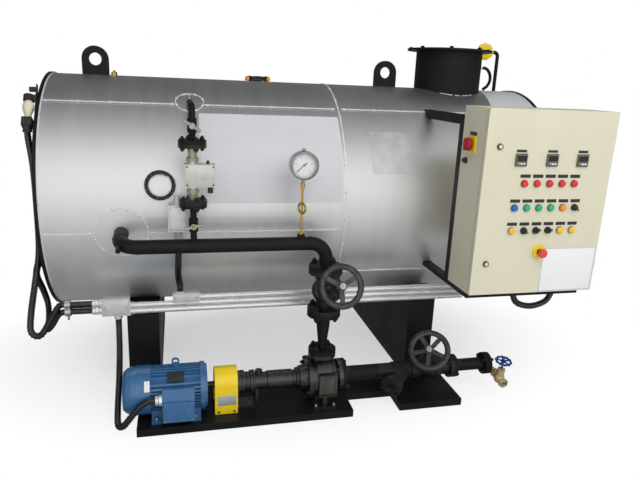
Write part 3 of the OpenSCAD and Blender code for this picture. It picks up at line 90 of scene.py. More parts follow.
# Camera, from the photograph's perspective
YAW, PITCH, ROLL = rad(14.04), rad(15.35), rad(2.48)
EYE = (580, -3087, 1492)
PHOTO_W, FOCAL_PIXELS, SENSOR_W = 640, 580.5, 36
look = Vector((sin(YAW) * cos(PITCH), cos(YAW) * cos(PITCH), -sin(PITCH)))
level = Vector((cos(YAW), -sin(YAW), 0))
over = level.cross(look)
right = cos(ROLL) * level + sin(ROLL) * over
up = cos(ROLL) * over - sin(ROLL) * level
camera = bpy.data.objects.new("camera", bpy.data.cameras.new("camera"))
scene.collection.objects.link(camera)
camera.matrix_world = Matrix.Translation(metres(*EYE)) @ Matrix((right, up, -look)).transposed().to_4x4()
camera.data.sensor_width = SENSOR_W
camera.data.sensor_fit = "HORIZONTAL"
camera.data.lens = FOCAL_PIXELS / PHOTO_W * SENSOR_W
camera.data.clip_end = 200
scene.camera = camera


# Shader nodes

def new_material(name):
    material = bpy.data.materials.new(name)
    material.use_nodes = True
    tree = material.node_tree
    return material, tree, tree.nodes["Principled BSDF"]


def join(tree, source, socket):
    """Link a source to a socket, or set the socket to a plain value."""
    if isinstance(source, bpy.types.NodeSocket):
        tree.links.new(source, socket)
    else:
        socket.default_value = source


def feed(tree, node, **inputs):
    """Join what feeds a node's inputs, each given by its name in small letters."""
    for name, source in inputs.items():
        join(tree, source, node.inputs[name.replace("_", " ").title()])
    return node


def add_node(tree, kind, **inputs):
    return feed(tree, tree.nodes.new("ShaderNode" + kind), **inputs)


def combine(tree, kind, operation, *sources):
    """The value of a Math or VectorMath node."""
    node = add_node(tree, kind)
    node.operation = operation
    for source, socket in zip(sources, node.inputs):
        join(tree, source, socket)
    return node.outputs["Value"]


def mix_shaders(tree, share, first, second):
    node = add_node(tree, "MixShader", fac=share)
    tree.links.new(first, node.inputs[1])
    tree.links.new(second, node.inputs[2])
    return node.outputs["Shader"]


def noise(tree, scale, detail=4.0, stretch=None, rough=0.55):
    """Noise in object space; stretch scales its axes one by one."""
    place = add_node(tree, "TexCoord").outputs["Object"]
    if stretch:
        place = add_node(tree, "Mapping", vector=place, scale=stretch).outputs["Vector"]
    node = add_node(tree, "TexNoise", vector=place, scale=scale, detail=detail, roughness=rough)
    return node.outputs["Fac"]


def ramp(tree, source, stops):
    """A colour ramp; a stop is a place and a colour."""
    node = add_node(tree, "ValToRGB", fac=source)
    elements = node.color_ramp.elements
    while len(elements) < len(stops):
        elements.new(0.5)
    for element, (place, color) in zip(elements, stops):
        element.position = place
        element.color = (*color, 1)
    return node.outputs["Color"]


def greys(*stops):
    return [(place, (v, v, v)) for place, v in stops]


def tone(color, k):
    return tuple(min(1.0, max(0.0, v * k)) for v in color)


def uneven(tree, source, low, high):
    """A value between low and high that follows a noise."""
    node = add_node(tree, "MapRange", value=source, from_min=0.3, from_max=0.7, to_min=low, to_max=high)
    return node.outputs["Result"]


def bumps(tree, *layers):
    """A normal from layers of height, each with a strength and a distance in metres."""
    normal = None
    for height, strength, distance in layers:
        node = add_node(tree, "Bump", height=height, strength=strength, distance=distance)
        if normal:
            tree.links.new(normal, node.inputs["Normal"])
        normal = node.outputs["Normal"]
    return normal


# Materials

def finish(name, color, rough, metal=0.0, vary=0.1, scale=40.0, grain=300.0, bump=0.06, coat=0.0,
           stretch=None, specular=0.5, worn=None):
    """Patchy colour, uneven gloss and fine grain; worn is a second colour, its scale and threshold."""
    material, tree, bsdf = new_material(name)
    patches = noise(tree, scale, 5.0, stretch)
    shades = [(0.3, tone(color, 1 - vary)), (0.55, color), (0.75, tone(color, 1 + vary))]
    shade = ramp(tree, patches, shades)
    if worn:
        fleck_color, fleck_scale, threshold = worn
        flecks = noise(tree, fleck_scale, 8.0, None, 0.7)
        mask = ramp(tree, flecks, greys((threshold, 0), (threshold + 0.06, 1)))
        mix = add_node(tree, "MixRGB", fac=mask, color1=shade, color2=(*fleck_color, 1))
        shade = mix.outputs["Color"]
    fine = noise(tree, grain, 3.0, stretch)
    normal = bumps(tree, (fine, bump, 0.0006), (patches, bump * 0.5, 0.002))
    feed(tree, bsdf, base_color=shade, roughness=uneven(tree, patches, *rough), normal=normal,
         metallic=metal, coat_weight=coat)
    bsdf.inputs["Specular IOR Level"].default_value = specular
    return material


# Height in metres over which the cladding's metallic ramp runs: painted shading by height
PAINTED_SHADING_HEIGHT = 1.6


def cladding_material():
    """Bright sheet, streaked round the drum and slightly dented; less metallic towards the floor, which is
    painted shading that sets how light its lower side looks.
    """
    material, tree, bsdf = new_material("cladding_sheet")
    streaks = noise(tree, 2.0, 4.0, (9, 1.0, 1.0), 0.5)
    dents = noise(tree, 2.1)
    spangle = noise(tree, 70.0, 2.0)
    mix = add_node(tree, "MixRGB", fac=0.45, color1=streaks, color2=dents).outputs["Color"]
    shades = [(0.32, (0.85, 0.855, 0.86)), (0.5, (0.9, 0.905, 0.91)), (0.68, (0.95, 0.95, 0.95))]
    # Painted shading: metallic from 0.7 near the floor to 1 high up sets the sheet's brightness by height
    place = add_node(tree, "TexCoord").outputs["Object"]
    height = add_node(tree, "SeparateXYZ", vector=place).outputs["Z"]
    share = combine(tree, "Math", "MULTIPLY", height, 1 / PAINTED_SHADING_HEIGHT)
    feed(tree, bsdf, base_color=ramp(tree, mix, shades), roughness=uneven(tree, mix, 0.38, 0.48),
         metallic=ramp(tree, share, greys((0.28, 0.7), (0.5, 0.85), (0.78, 1))),
         normal=bumps(tree, (dents, 0.3, 0.006), (spangle, 0.04, 0.0006)))
    return material


def glass_material():
    """Mostly clear, with a faint sheen."""
    material, tree, bsdf = new_material("gauge_glass")
    feed(tree, bsdf, base_color=(0.9, 0.92, 0.92, 1), roughness=uneven(tree, noise(tree, 30), 0.03, 0.08))
    clear = add_node(tree, "BsdfTransparent").outputs["BSDF"]
    pane = mix_shaders(tree, 0.07, clear, bsdf.outputs["BSDF"])
    feed(tree, tree.nodes["Material Output"], surface=pane)
    return material


PLASTIC = dict(rough=(0.25, 0.36), vary=0.06, scale=60, grain=500, bump=0.04, coat=0.2)
MATERIAL = {
    "cladding": cladding_material(),
    "glass": glass_material(),
    "black": finish("black_paint", (0.0095, 0.0095, 0.01), (0.36, 0.52), vary=0.22, scale=6, grain=340,
                    bump=0.1, specular=0.2),
    "pipe": finish("black_pipe", (0.009, 0.009, 0.0095), (0.4, 0.56), vary=0.25, scale=12, grain=420,
                   bump=0.14, specular=0.22),
    "iron": finish("cast_black", (0.014, 0.0137, 0.0133), (0.34, 0.55), vary=0.35, scale=20, grain=170,
                   bump=0.45, specular=0.36, worn=((0.032, 0.029, 0.026), 38, 0.64)),
    "pump": finish("pump_casting", (0.014, 0.0125, 0.011), (0.16, 0.36), vary=0.35, scale=26, grain=150,
                   bump=0.45, specular=0.95, worn=((0.07, 0.06, 0.05), 46, 0.64)),
    "pump_face": finish("pump_face", (0.085, 0.079, 0.072), (0.3, 0.48), metal=0.4, vary=0.25, scale=30,
                        grain=180, bump=0.35, worn=((0.16, 0.145, 0.13), 50, 0.62)),
    "wheel": finish("wheel_iron", (0.09, 0.086, 0.08), (0.2, 0.4), metal=0.8, vary=0.3, scale=45,
                    grain=220, bump=0.5, worn=((0.02, 0.02, 0.02), 60, 0.6)),
    "steel": finish("bright_steel", (0.6, 0.605, 0.61), (0.22, 0.36), metal=1.0, vary=0.12, grain=500),
    "dark_steel": finish("dark_steel", (0.06, 0.058, 0.055), (0.3, 0.45), metal=0.8, vary=0.25, bump=0.1),
    "lock": finish("lock_steel", (0.09, 0.088, 0.08), (0.3, 0.45), metal=0.6, vary=0.15, scale=60,
                   grain=400),
    "rim": finish("gauge_steel", (0.38, 0.38, 0.39), (0.1, 0.2), metal=1.0, vary=0.08, scale=30,
                  grain=400, bump=0.03),
    "zinc": finish("galvanised_tube", (0.86, 0.87, 0.87), (0.2, 0.34), metal=0.6, vary=0.12, scale=14,
                   grain=200, stretch=(0.2, 1, 1)),
    "bronze": finish("bronze", (0.76, 0.6, 0.3), (0.22, 0.4), metal=0.55, vary=0.2, scale=60, grain=260,
                     bump=0.2, worn=((0.42, 0.29, 0.12), 70, 0.62)),
    "brass": finish("brass", (0.72, 0.46, 0.1), (0.2, 0.32), metal=1.0, vary=0.14, scale=60, grain=400),
    "dull_brass": finish("dull_brass", (0.47, 0.42, 0.31), (0.26, 0.4), metal=0.9, vary=0.2, scale=50,
                         bump=0.15),
    "nickel": finish("nickel_plate", (0.75, 0.735, 0.69), (0.3, 0.42), metal=0.9, scale=30, grain=400),
    "alu": finish("cast_aluminium", (0.72, 0.725, 0.715), (0.32, 0.48), metal=0.55, scale=30, grain=330,
                  bump=0.2),
    "plate": finish("bare_plate", (0.68, 0.685, 0.69), (0.34, 0.5), metal=0.7, vary=0.14, scale=18,
                    grain=400, bump=0.1),
    # Seam beads and rivets are raised shapes, given a lighter, more matt finish than the sheet as a painted
    # highlight
    "seam": finish("seam_painted_highlight", (0.76, 0.76, 0.76), (0.26, 0.38), metal=0.25, vary=0.08),
    "sheet": finish("shoulder_sheet_painted_highlight", (0.74, 0.755, 0.77), (0.3, 0.42), metal=0.35, vary=0.06, scale=4,
                    grain=70, bump=0.12),
    "yellow": finish("yellow_paint", (0.87, 0.62, 0.009), (0.25, 0.36), vary=0.05, scale=12, bump=0.05,
                     coat=0.3),
    "blue": finish("motor_paint", (0.03, 0.128, 0.295), (0.16, 0.26), vary=0.12, scale=14, grain=260,
                   bump=0.1, coat=0.5, specular=0.7),
    "blue_wheel": finish("wheel_blue", (0.011, 0.042, 0.22), (0.3, 0.45), vary=0.15, scale=50, bump=0.2),
    "cream": finish("cabinet_coat", (0.65, 0.614, 0.468), (0.36, 0.46), vary=0.025, scale=5, grain=520,
                    bump=0.12, specular=0.4),
    "hose": finish("hose_black", (0.006, 0.006, 0.0064), (0.14, 0.24), vary=0.2, scale=30, bump=0.08,
                   specular=0.8),
    "dark": finish("dark_plastic", (0.022, 0.022, 0.023), (0.35, 0.5), vary=0.15, grain=500, bump=0.1),
    "grey": finish("grey_bezel", (0.11, 0.107, 0.1), (0.35, 0.5), grain=500, bump=0.1),
    "screen": finish("dark_screen", (0.01, 0.01, 0.011), (0.1, 0.2), bump=0.01),
    "red": finish("red_plastic", (0.72, 0.02, 0.02), **PLASTIC),
    "green": finish("green_plastic", (0.008, 0.43, 0.16), **PLASTIC),
    "button_blue": finish("blue_plastic", (0.012, 0.11, 0.52), **PLASTIC),
    "orange": finish("orange_plastic", (0.86, 0.28, 0.01), **PLASTIC),
    "amber": finish("amber_plastic", (0.88, 0.5, 0.02), **PLASTIC),
    "deep_red": finish("deep_red_plastic", (0.34, 0.012, 0.016), (0.28, 0.4), scale=50, grain=500, bump=0.05),
    "stop_red": finish("stop_red", (0.72, 0.06, 0.05), (0.3, 0.42), vary=0.08, scale=50, grain=500,
                       bump=0.05),
    "white": finish("white_vinyl", (0.8, 0.8, 0.81), (0.32, 0.44), vary=0.03, scale=6, bump=0.04),
    "sticker": finish("sticker_vinyl", (0.58, 0.58, 0.6), (0.34, 0.46), vary=0.03, scale=6, bump=0.04),
    "dial": finish("dial_face", (0.78, 0.78, 0.76), (0.4, 0.5), vary=0.03, scale=30, bump=0.02),
    "lamp": finish("lamp_cream", (0.72, 0.66, 0.5), (0.3, 0.42), vary=0.08),
}

NODE_FINISH = {
    "cladding": "cladding_left cladding_right",
    "black": "end_plate_left end_plate_right saddle_left saddle_right pump_skid right_foot_plate link_plate "
             "flue lifting_lugs cabinet_bracket vent_pipe",
    "pipe": "header_pipe riser suction_pipe return_pipe bypass_lower bypass_upper",
    "iron": "discharge_valve suction_valve strainer",
    "pump": "pump_casing bearing_bracket",
    "wheel": "discharge_handwheel suction_handwheel",
    "steel": "lower_lever upper_lever hose_clip",
    "dark_steel": "shaft_coupling",
    "zinc": "conduits",
    "yellow": "coupling_guard vent_cap isolator_plate",
    "blue": "motor_frame motor_fan_cover motor_terminal_box",
    "bronze": "drain_valve",
    "brass": "gauge_siphon",
    "blue_wheel": "drain_handwheel",
    "nickel": "flow_switch",
    "rim": "pressure_gauge",
    "alu": "sensor_head conduit_boxes",
    "cream": "cabinet_body cabinet_door",
    "grey": "door_controllers",
    "dark": "lamp_socket",
    "deep_red": "isolator_handle",
    "lamp": "lamp_bulb",
}
for key, names in NODE_FINISH.items():
    for name in names.split():
        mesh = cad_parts[name].data
        mesh.materials.clear()
        mesh.materials.append(MATERIAL[key])


# Shapes, drawn in mm; a profile is a list of radii and heights, and TIP is a radius that ends on the axis
TIP = 0.01


def turned(profile, n):
    """Rows of n points, one row for each point of the profile."""
    angles = [2 * pi * k / n for k in range(n)]
    return [(r * cos(a), r * sin(a), z) for r, z in profile for a in angles]


def band(i, q, n):
    """Faces between rows i and q of n points."""
    return [(i * n + k, i * n + (k + 1) % n, q * n + (k + 1) % n, q * n + k) for k in range(n)]


def lathe(profile, n=32):
    """A profile turned about z, with a face at each end that is off the axis."""
    last = len(profile) - 1
    faces = [f for i in range(last) for f in band(i, i + 1, n)]
    if profile[0][0] > TIP:
        faces.append(tuple(range(n - 1, -1, -1)))
    if profile[last][0] > TIP:
        faces.append(tuple(last * n + k for k in range(n)))
    return turned(profile, n), faces


def ring_shape(profile, n=48):
    """A closed profile turned about z."""
    m = len(profile)
    return turned(profile, n), [f for i in range(m) for f in band(i, (i + 1) % m, n)]


def block(w, d, h, bevel=1.0):
    """A box that stands on its place, with its edges rounded."""
    bm = bmesh.new()
    bmesh.ops.create_cube(bm, size=1)
    bmesh.ops.scale(bm, vec=(w, d, h), verts=bm.verts)
    bmesh.ops.translate(bm, vec=(0, 0, h / 2), verts=bm.verts)
    if bevel:
        bmesh.ops.bevel(bm, geom=bm.edges[:], offset=bevel, segments=2, affect="EDGES", profile=0.6)
    verts = [tuple(v.co) for v in bm.verts]
    bm.verts.index_update()
    faces = [tuple(v.index for v in f.verts) for f in bm.faces]
    bm.free()
    return verts, faces


def hex_nut(d, h):
    """A nut or bolt head, d across flats."""
    return lathe([(d * 0.50, 0), (d * 0.577, h * 0.1), (d * 0.577, h * 0.82), (d * 0.49, h)], 6)


def stud(d, h):
    return lathe([(d / 2, 0), (d / 2, h - d * 0.12), (d * 0.38, h)], 12)


def sweep(points, radius, sides=14, rib=0.0, pitch=0.0):
    """A tube along points (Vectors in metres), with ribs of a pitch where asked."""
    step = pitch / 2 if pitch else 0.02
    dense, carry = [points[0]], 0.0
    for a, b in zip(points, points[1:]):
        seg = (b - a).length
        t = step - carry
        while t < seg:
            dense.append(a.lerp(b, t / seg))
            t += step
        carry = seg - (t - step)
    if len(dense) > 2 and (dense[-1] - points[-1]).length < step * 0.5:
        dense.pop()
    dense.append(points[-1])
    last = len(dense) - 1
    verts, side = [], None
    for i, p in enumerate(dense):
        t = (dense[min(i + 1, last)] - dense[max(i - 1, 0)]).normalized()
        if side is None:
            side = t.orthogonal()
        side = (side - side.dot(t) * t).normalized()
        other = t.cross(side)
        r = radius - (rib if i % 2 else 0)
        for k in range(sides):
            a = 2 * pi * k / sides
            verts.append(tuple(p + r * (cos(a) * side + sin(a) * other)))
    faces = [f for i in range(last) for f in band(i, i + 1, sides)]
    faces.append(tuple(range(sides - 1, -1, -1)))
    faces.append(tuple(last * sides + k for k in range(sides)))
    return verts, faces


def smooth_points(pts, steps=10):
    """The route's spline, as the part's source draws it."""
    out = []
    for i in range(len(pts) - 1):
        a, b, c, d = pts[max(i - 1, 0)], pts[i], pts[i + 1], pts[min(i + 2, len(pts) - 1)]
        for s in range(steps):
            t = s / steps
            out.append(0.5 * (2 * b + (c - a) * t + (2 * a - 5 * b + 4 * c - d) * t * t
                              + (3 * b - a - 3 * c + d) * t * t * t))
    out.append(pts[-1])
    return out


class Piece:
    """Collects shapes of one material into one object that rides on a body."""

    def __init__(self, name, key, body="heater", angle=35):
        self.name, self.key, self.body, self.angle = name, key, body, angle
        self.verts, self.faces = [], []

    def add(self, shape, matrix=None):
        base = len(self.verts)
        verts, faces = shape
        for v in verts:
            self.verts.append(tuple(matrix @ Vector(v)) if matrix else tuple(v))
        self.faces += [tuple(base + i for i in f) for f in faces]
        return self

    def make(self):
        mesh = bpy.data.meshes.new(self.name)
        mesh.from_pydata(self.verts, [], self.faces)
        bm = bmesh.new()
        bm.from_mesh(mesh)
        bmesh.ops.recalc_face_normals(bm, faces=bm.faces)
        bm.to_mesh(mesh)
        bm.free()
        mesh.polygons.foreach_set("use_smooth", [True] * len(mesh.polygons))
        mesh.set_sharp_from_angle(angle=rad(self.angle))
        mesh.materials.append(MATERIAL[self.key])
        obj = bpy.data.objects.new(self.name, mesh)
        scene.collection.objects.link(obj)
        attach(obj, self.body)
        return obj


# Flexible hoses: routes repeat the source's points
HOSE_R, RIB, RIB_PITCH = 0.015, 0.0034, 0.012


def route(*pts):
    return smooth_points([metres(*p) for p in pts])


HOSES = {
    "motor_hose": route(
        (299, -498, 412), (299, -498, 375), (300, -528, 272), (303, -630, 182), (301, -728, 84),
        (306, -786, 44), (330, -820, 56), (362, -827, 98), (402, -824, 144), (440, -821.8, 165),
        (467, -821.8, 165)),
    "burner_hose": route(
        (-31, -412, 1236), (-31, -412, 1205), (-20, -420, 1080), (-19, -426, 880), (-24, -436, 715),
        (-38, -490, 590), (-46, -566, 482), (-44, -601, 412), (-12, -592, 388), (20, -545, 432),
        (50, -497, 480), (74, -493.3, 486), (110, -493.3, 486), (190, -493.3, 486)),
    "pilot_hose": route(
        (-24, -374, 640), (-44, -374, 640), (-62, -345, 580), (-52, -288, 485), (-42, -264, 402),
        (-38, -300, 332), (-26, -392, 330), (8, -452, 376), (46, -488, 440), (74, -493.3, 452),
        (110, -493.3, 452), (190, -493.3, 452)),
    "sensor_hose": route(
        (573, -617, 814), (573, -617, 780), (569, -592, 695), (568, -545, 620), (574, -500, 560),
        (574, -500, 525.3)),
    "cabinet_hose": route(
        (2060, -860, 609), (2060, -860, 586), (2087, -860, 539), (2161, -860, 519), (2235, -860, 539),
        (2262, -860, 586), (2262, -860, 609)),
}
for name, pts in HOSES.items():
    hose = Piece(name + "_tube", "hose", angle=60)
    hose.add(sweep(pts, HOSE_R, 16, RIB, RIB_PITCH))
    obj = hose.make()
    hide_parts(name)

# Hank of cable beside the sensor head: one turn to a slot, crossing to the next slot at the turn's end
HANK_X, HANK_Z, HANK_R, HANK_LIFT, CABLE_R = 501, 1032, 57, 9.3, 0.0038
HANK_SLOTS = [(-4.4, -4.4), (4.4, -4.4), (4.4, 4.4), (-4.4, 4.4)]
PER_TURN, LEFT_OPEN, HANK_START = 40, 3, 0.3


def hank_points():
    lean = asin((HANK_Z - AXIS_H) / DRUM_R)
    outward = Vector((0, -cos(lean), sin(lean)))
    rise = Vector((0, sin(lean), cos(lean)))
    centre = Vector((HANK_X, 0, AXIS_H)) + outward * (DRUM_R + HANK_LIFT)
    points = []
    for i in range(len(HANK_SLOTS) * PER_TURN - LEFT_OPEN):
        f = i / PER_TURN
        k = int(f)
        (r0, lift0), (r1, lift1) = HANK_SLOTS[k], HANK_SLOTS[min(k + 1, len(HANK_SLOTS) - 1)]
        w = min(1.0, max(0.0, (f - k - 0.8) / 0.2))
        w = w * w * (3 - 2 * w)
        r = HANK_R + r0 + (r1 - r0) * w
        turn = HANK_START - 2 * pi * f
        place = centre + Vector(RIGHT) * r * cos(turn) + rise * r * sin(turn)
        points.append(metres(*(place + outward * (lift0 + (lift1 - lift0) * w))))
    return points


hank = hank_points()
obj = Piece("cable_hank", "hose", angle=60).add(sweep(hank, CABLE_R, 10)).make()
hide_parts("cable_coil")


# Cladding: laps, beads and rivets of the seams, rosettes, blank sticker, data plate and a shoulder sheet; the
# beads, rivets and shoulder sheet are lighter than the sheet as painted highlights

def on_drum(x, angle, lift=0.0):
    """A place on the drum, at an angle above its front."""
    r = DRUM_R + lift
    return Vector((x, -r * cos(angle), AXIS_H + r * sin(angle)))


def patch(x0, x1, a0, a1, lift, thick, nx=2, na=12, slant=0.0):
    """A thin sheet that follows the drum from angle a0 to a1; its left edge moves by slant on the way."""
    verts, faces = [], []
    for layer in (lift, lift + thick):
        for i in range(nx + 1):
            for j in range(na + 1):
                left = x0 + slant * j / na
                place = on_drum(left + (x1 - left) * i / nx, a0 + (a1 - a0) * j / na, layer)
                verts.append(tuple(metres(*place)))
    n = na + 1
    size = (nx + 1) * n
    for i in range(nx):
        for j in range(na):
            q = (i * n + j, i * n + j + 1, (i + 1) * n + j + 1, (i + 1) * n + j)
            faces += [q, tuple(size + v for v in reversed(q))]
    edge = [i * n for i in range(nx + 1)] + [nx * n + j for j in range(1, n)]
    edge += [i * n + na for i in range(nx - 1, -1, -1)] + [j for j in range(na - 1, 0, -1)]
    faces += [(a, b, size + b, size + a) for a, b in zip(edge, edge[1:] + edge[:1])]
    return verts, faces


def rosette(x, angle, radius, hole, lift, thick, n=64):
    """A thin ring that follows the drum round a pipe."""
    verts, faces = [], []
    rings = [hole, (hole + radius) / 2, radius]
    for layer in (lift, lift + thick):
        for r in rings:
            for k in range(n):
                t = 2 * pi * k / n
                place = on_drum(x + r * cos(t), angle + r * sin(t) / DRUM_R, layer)
                verts.append(tuple(metres(*place)))
    size = len(rings) * n
    for k in range(n):
        j = (k + 1) % n
        for i in range(len(rings) - 1):
            q = (i * n + k, i * n + j, (i + 1) * n + j, (i + 1) * n + k)
            faces += [q, tuple(size + v for v in reversed(q))]
        for i in (0, len(rings) - 1):
            faces.append((i * n + k, i * n + j, size + i * n + j, size + i * n + k))
    return verts, faces


UPPER, LOW_LEFT, LOW_RIGHT, REAR = rad(53), -NOZZLE, rad(-36.4), rad(180)
LAP_W, BEAD_W, LAP, BEAD = 24, 4.8, (0.1, 0.8), (0.8, 2.0)
RIVET_STEP, RIVET_INSET = 135, 14
RING_FROM, RING_TO, RING_STEP = -89.0, 269.0, 13.0
RING = (rad(RING_FROM), rad(RING_TO))
LEFT_FROM, LEFT_TO, JOINT_X, RIGHT_FROM, RIGHT_TO = 16, 1312, 1328, 1344, 2418
laps = Piece("cladding_laps", "cladding")
beads = Piece("cladding_beads", "seam", angle=60)
rivets = Piece("cladding_rivets", "seam", angle=60)
dome = lathe([(6, 0), (5.6, 2.0), (3.6, 3.4), (TIP, 4)], 12)


def rivet(x, angle, lift=1.0):
    rivets.add(dome, at(*on_drum(x, angle, lift), axis=(0, -cos(angle), sin(angle))))


def long_seam(x0, x1, angle):
    for piece, width, layer in ((laps, LAP_W, LAP), (beads, BEAD_W, BEAD)):
        half = width / 2 / DRUM_R
        piece.add(patch(x0, x1, angle - half, angle + half, *layer, 2, 2))
    count = int((x1 - x0) / RIVET_STEP)
    for i in range(count + 1):
        rivet(x0 + RIVET_INSET + (x1 - x0 - 2 * RIVET_INSET) * i / count, angle)


def round_seam(x):
    for piece, width, layer in ((laps, LAP_W, LAP), (beads, BEAD_W, BEAD)):
        piece.add(patch(x - width / 2, x + width / 2, *RING, *layer, 2, 90))
    for i in range(int((RING_TO - RING_FROM) / RING_STEP)):
        rivet(x, rad(RING_FROM + (i + 0.5) * RING_STEP), 1.2)


for x0, x1, angle in ((LEFT_FROM, 570, UPPER), (700, LEFT_TO, UPPER), (RIGHT_FROM, RIGHT_TO, UPPER),
                      (450, LEFT_TO, LOW_LEFT), (LEFT_FROM, 220, LOW_LEFT), (RIGHT_FROM, RIGHT_TO, LOW_RIGHT),
                      (LEFT_FROM, LEFT_TO, REAR), (RIGHT_FROM, RIGHT_TO, REAR)):
    long_seam(x0, x1, angle)
round_seam(JOINT_X)
# A bead along the left end's lip, lighter than the sheet as a painted highlight
beads.add(patch(LEFT_FROM - 2, LEFT_FROM + 4, *RING, 0.2, 1.4, 1, 90))
laps.make()

roses = Piece("cladding_rosettes", "cladding")
for x, a, r, hole, count in ((NOZZLE_X, -NOZZLE, 113, 31, 12), (BYPASS_X, BYPASS_ANGLE, 64, 14.5, 8)):
    roses.add(rosette(x, a, r, hole, 0.2, 1.2))
    beads.add(rosette(x, a, r, r - 3.6, 1.3, 1.8))
    for s in (1, -1):
        inner, outer = a + s * (hole + 5) / DRUM_R, a + s * (r - 4) / DRUM_R
        beads.add(patch(x - 1.3, x + 1.3, inner, outer, 1.3, 1.0, 1, 6))
    for k in range(count):
        t = 2 * pi * (k + 0.5) / count
        rivet(x + (r - 2) * cos(t), a + (r - 2) * sin(t) / DRUM_R, 2.2)
roses.make()
beads.make()
rivets.make()

Piece("blank_sticker", "sticker").add(patch(672, 1322, rad(4), rad(47.5), 0.15, 0.4, 6, 24)).make()
Piece("bare_data_plate", "plate").add(patch(1462, 1652, rad(17.5), rad(39), 0.2, 0.8, 3, 12)).make()
# The shoulder panel is real, but its lighter, more matt finish is a painted highlight
Piece("shoulder_sheet_painted_highlight", "sheet").add(patch(2160, 2420, rad(57), rad(104), 0.15, 0.5, 4, 24, slant=90)).make()


# Flow switch on the bypass line: flange faces, plug sleeve and knob, unions, lid and its screws

def up_bypass(share):
    return LINE_Z + share * BYPASS_SPAN


LOW_JOINT, HIGH_JOINT, JOINT_T = up_bypass(0.321), up_bypass(0.746), 15
SWITCH_H, LID_X, LID_Y = 93, 664, LINE_Y - 28
SWITCH_Z = up_bypass(0.525) - SWITCH_H / 2
LID_Z = SWITCH_Z + SWITCH_H / 2
UNION_DROP, UNION_RISE, UNION_H = 27, 101, 19
flanges = Piece("switch_flange_faces", "iron", angle=30)
flange_face = ring_shape([(20.3, -0.2), (56.3, -0.2), (56.3, 15.2), (20.3, 15.2)], 56)
for z in (LOW_JOINT, HIGH_JOINT - JOINT_T):
    flanges.add(flange_face, at(BYPASS_X, LINE_Y, z))
flanges.make()
sleeve = Piece("switch_plug_sleeve", "dark", angle=50)
sleeve.add(lathe([(9, -29), (11.4, -27), (11.4, -1), (10.4, 0), (TIP, 0.1)], 28), at(705, LINE_Y, SWITCH_Z))
sleeve.add(lathe([(6.4, 93), (6.4, 105), (5, 107), (TIP, 107.2)], 20), at(696, LINE_Y, SWITCH_Z))
sleeve.make()
unions = Piece("switch_unions", "dull_brass", angle=30)
for z in (SWITCH_Z - UNION_DROP, SWITCH_Z + UNION_RISE):
    unions.add(hex_nut(43, UNION_H), at(BYPASS_X, LINE_Y, z))
for z0, z1 in ((LOW_JOINT + JOINT_T, SWITCH_Z - UNION_DROP),
               (SWITCH_Z + UNION_RISE + UNION_H, HIGH_JOINT - JOINT_T)):
    unions.add(lathe([(16, z0), (18, z0 + 2), (18, z1 - 2), (16, z1)], 32), at(BYPASS_X, LINE_Y, 0))
unions.make()
lid = Piece("switch_lid", "nickel", angle=40)
lid.add(block(116, 87, 2, 1.2), at(LID_X, LID_Y, LID_Z, FRONT))
lid.add(block(60, 42, 0.7, 0.3), at(LID_X + 12, LID_Y - 2, LID_Z + 5.5, FRONT))
lid.make()
heads = Piece("switch_lid_screws", "dark_steel", angle=40)
for dx in (-52, 52):
    for dz in (-37, 37):
        heads.add(lathe([(3.6, 0), (3.6, 1.6), (2.4, 2.4), (TIP, 2.5)], 14),
                  at(LID_X + dx, LID_Y - 2, LID_Z + dz, FRONT))
heads.make()

# Bolted joints, all at the depth of the pump's line, and the bolts of the feet
LEAN, TURN_UP = rad(23), rad(45)
RISER_STEM = Vector((0, -cos(LEAN), sin(LEAN)))
SUCTION_STEM = Vector((-sin(LEAN), -cos(LEAN) * cos(TURN_UP), cos(LEAN) * sin(TURN_UP)))
BRANCH_LEAN, BRANCH_DROP = rad(47), rad(25)
BRANCH = Vector((-sin(BRANCH_LEAN), -cos(BRANCH_LEAN) * cos(BRANCH_DROP),
                 -cos(BRANCH_LEAN) * sin(BRANCH_DROP)))
FLANGE_PCD, PAIR = 120.7, (-19, 19)
bolts = Piece("joint_bolts", "iron", angle=30)


def bolt_circle(x, z, axis, pcd, count, d, low, high, turn=45.0):
    """Studs with a nut above the higher face, and one below the lower face if there is one."""
    spot = at(x, LINE_Y, z, axis)
    nut_w, nut_h = d * 1.55, d * 0.8
    flip = Matrix.Rotation(pi, 4, "X")
    for t, step in around(count, pcd / 2, rad(turn)):
        faces = [shift(z=high)] + ([] if low is None else [shift(z=low) @ flip])
        for face in faces:
            bolts.add(hex_nut(nut_w, nut_h), spot @ step @ face @ spin(t))
            bolts.add(stud(d, nut_h + d * 0.5), spot @ step @ face)


for z, pcd, d in ((680, FLANGE_PCD, 16), (480, FLANGE_PCD, 16), (278, 98.4, 14)):
    bolt_circle(RISER_X, z, UP, pcd, 4, d, *PAIR)
bolt_circle(1303, PUMP_Z, RIGHT, FLANGE_PCD, 4, 16, *PAIR)
bolt_circle(1875, PUMP_Z, RIGHT, 92, 4, 12, *PAIR)
bolt_circle(2062, PUMP_Z, RIGHT, 86, 4, 11, -16.3, 16)
for z in (LOW_JOINT, HIGH_JOINT):
    bolt_circle(BYPASS_X, z, UP, 84, 4, 12, -JOINT_T, JOINT_T, 20)
bolt_circle(RISER_X, VALVE_Z, RISER_STEM, 100, 8, 10, 68, 100, 22.5)
bolt_circle(SUCTION_X, PUMP_Z, SUCTION_STEM, 100, 8, 10, 68, 100, 22.5)
bolt_circle(1138, PUMP_Z, LEFT, 182, 8, 10, None, 0, 22.5)
bolt_circle(1636, PUMP_Z, BRANCH, 86, 6, 10, 114, 146, 30)

foot = Piece("foot_bolts", "steel", angle=30)
for xs, spread, nut, nut_h, length in (((1168, 1252), 98, 16, 9, 14), ((464, 631), 92, 15, 8, 13)):
    for x in xs:
        for s in (-1, 1):
            spot = at(x, LINE_Y + s * spread, SKID_TOP)
            foot.add(hex_nut(nut, nut_h), spot).add(stud(9, length), spot)
foot.make()
bolts.make()

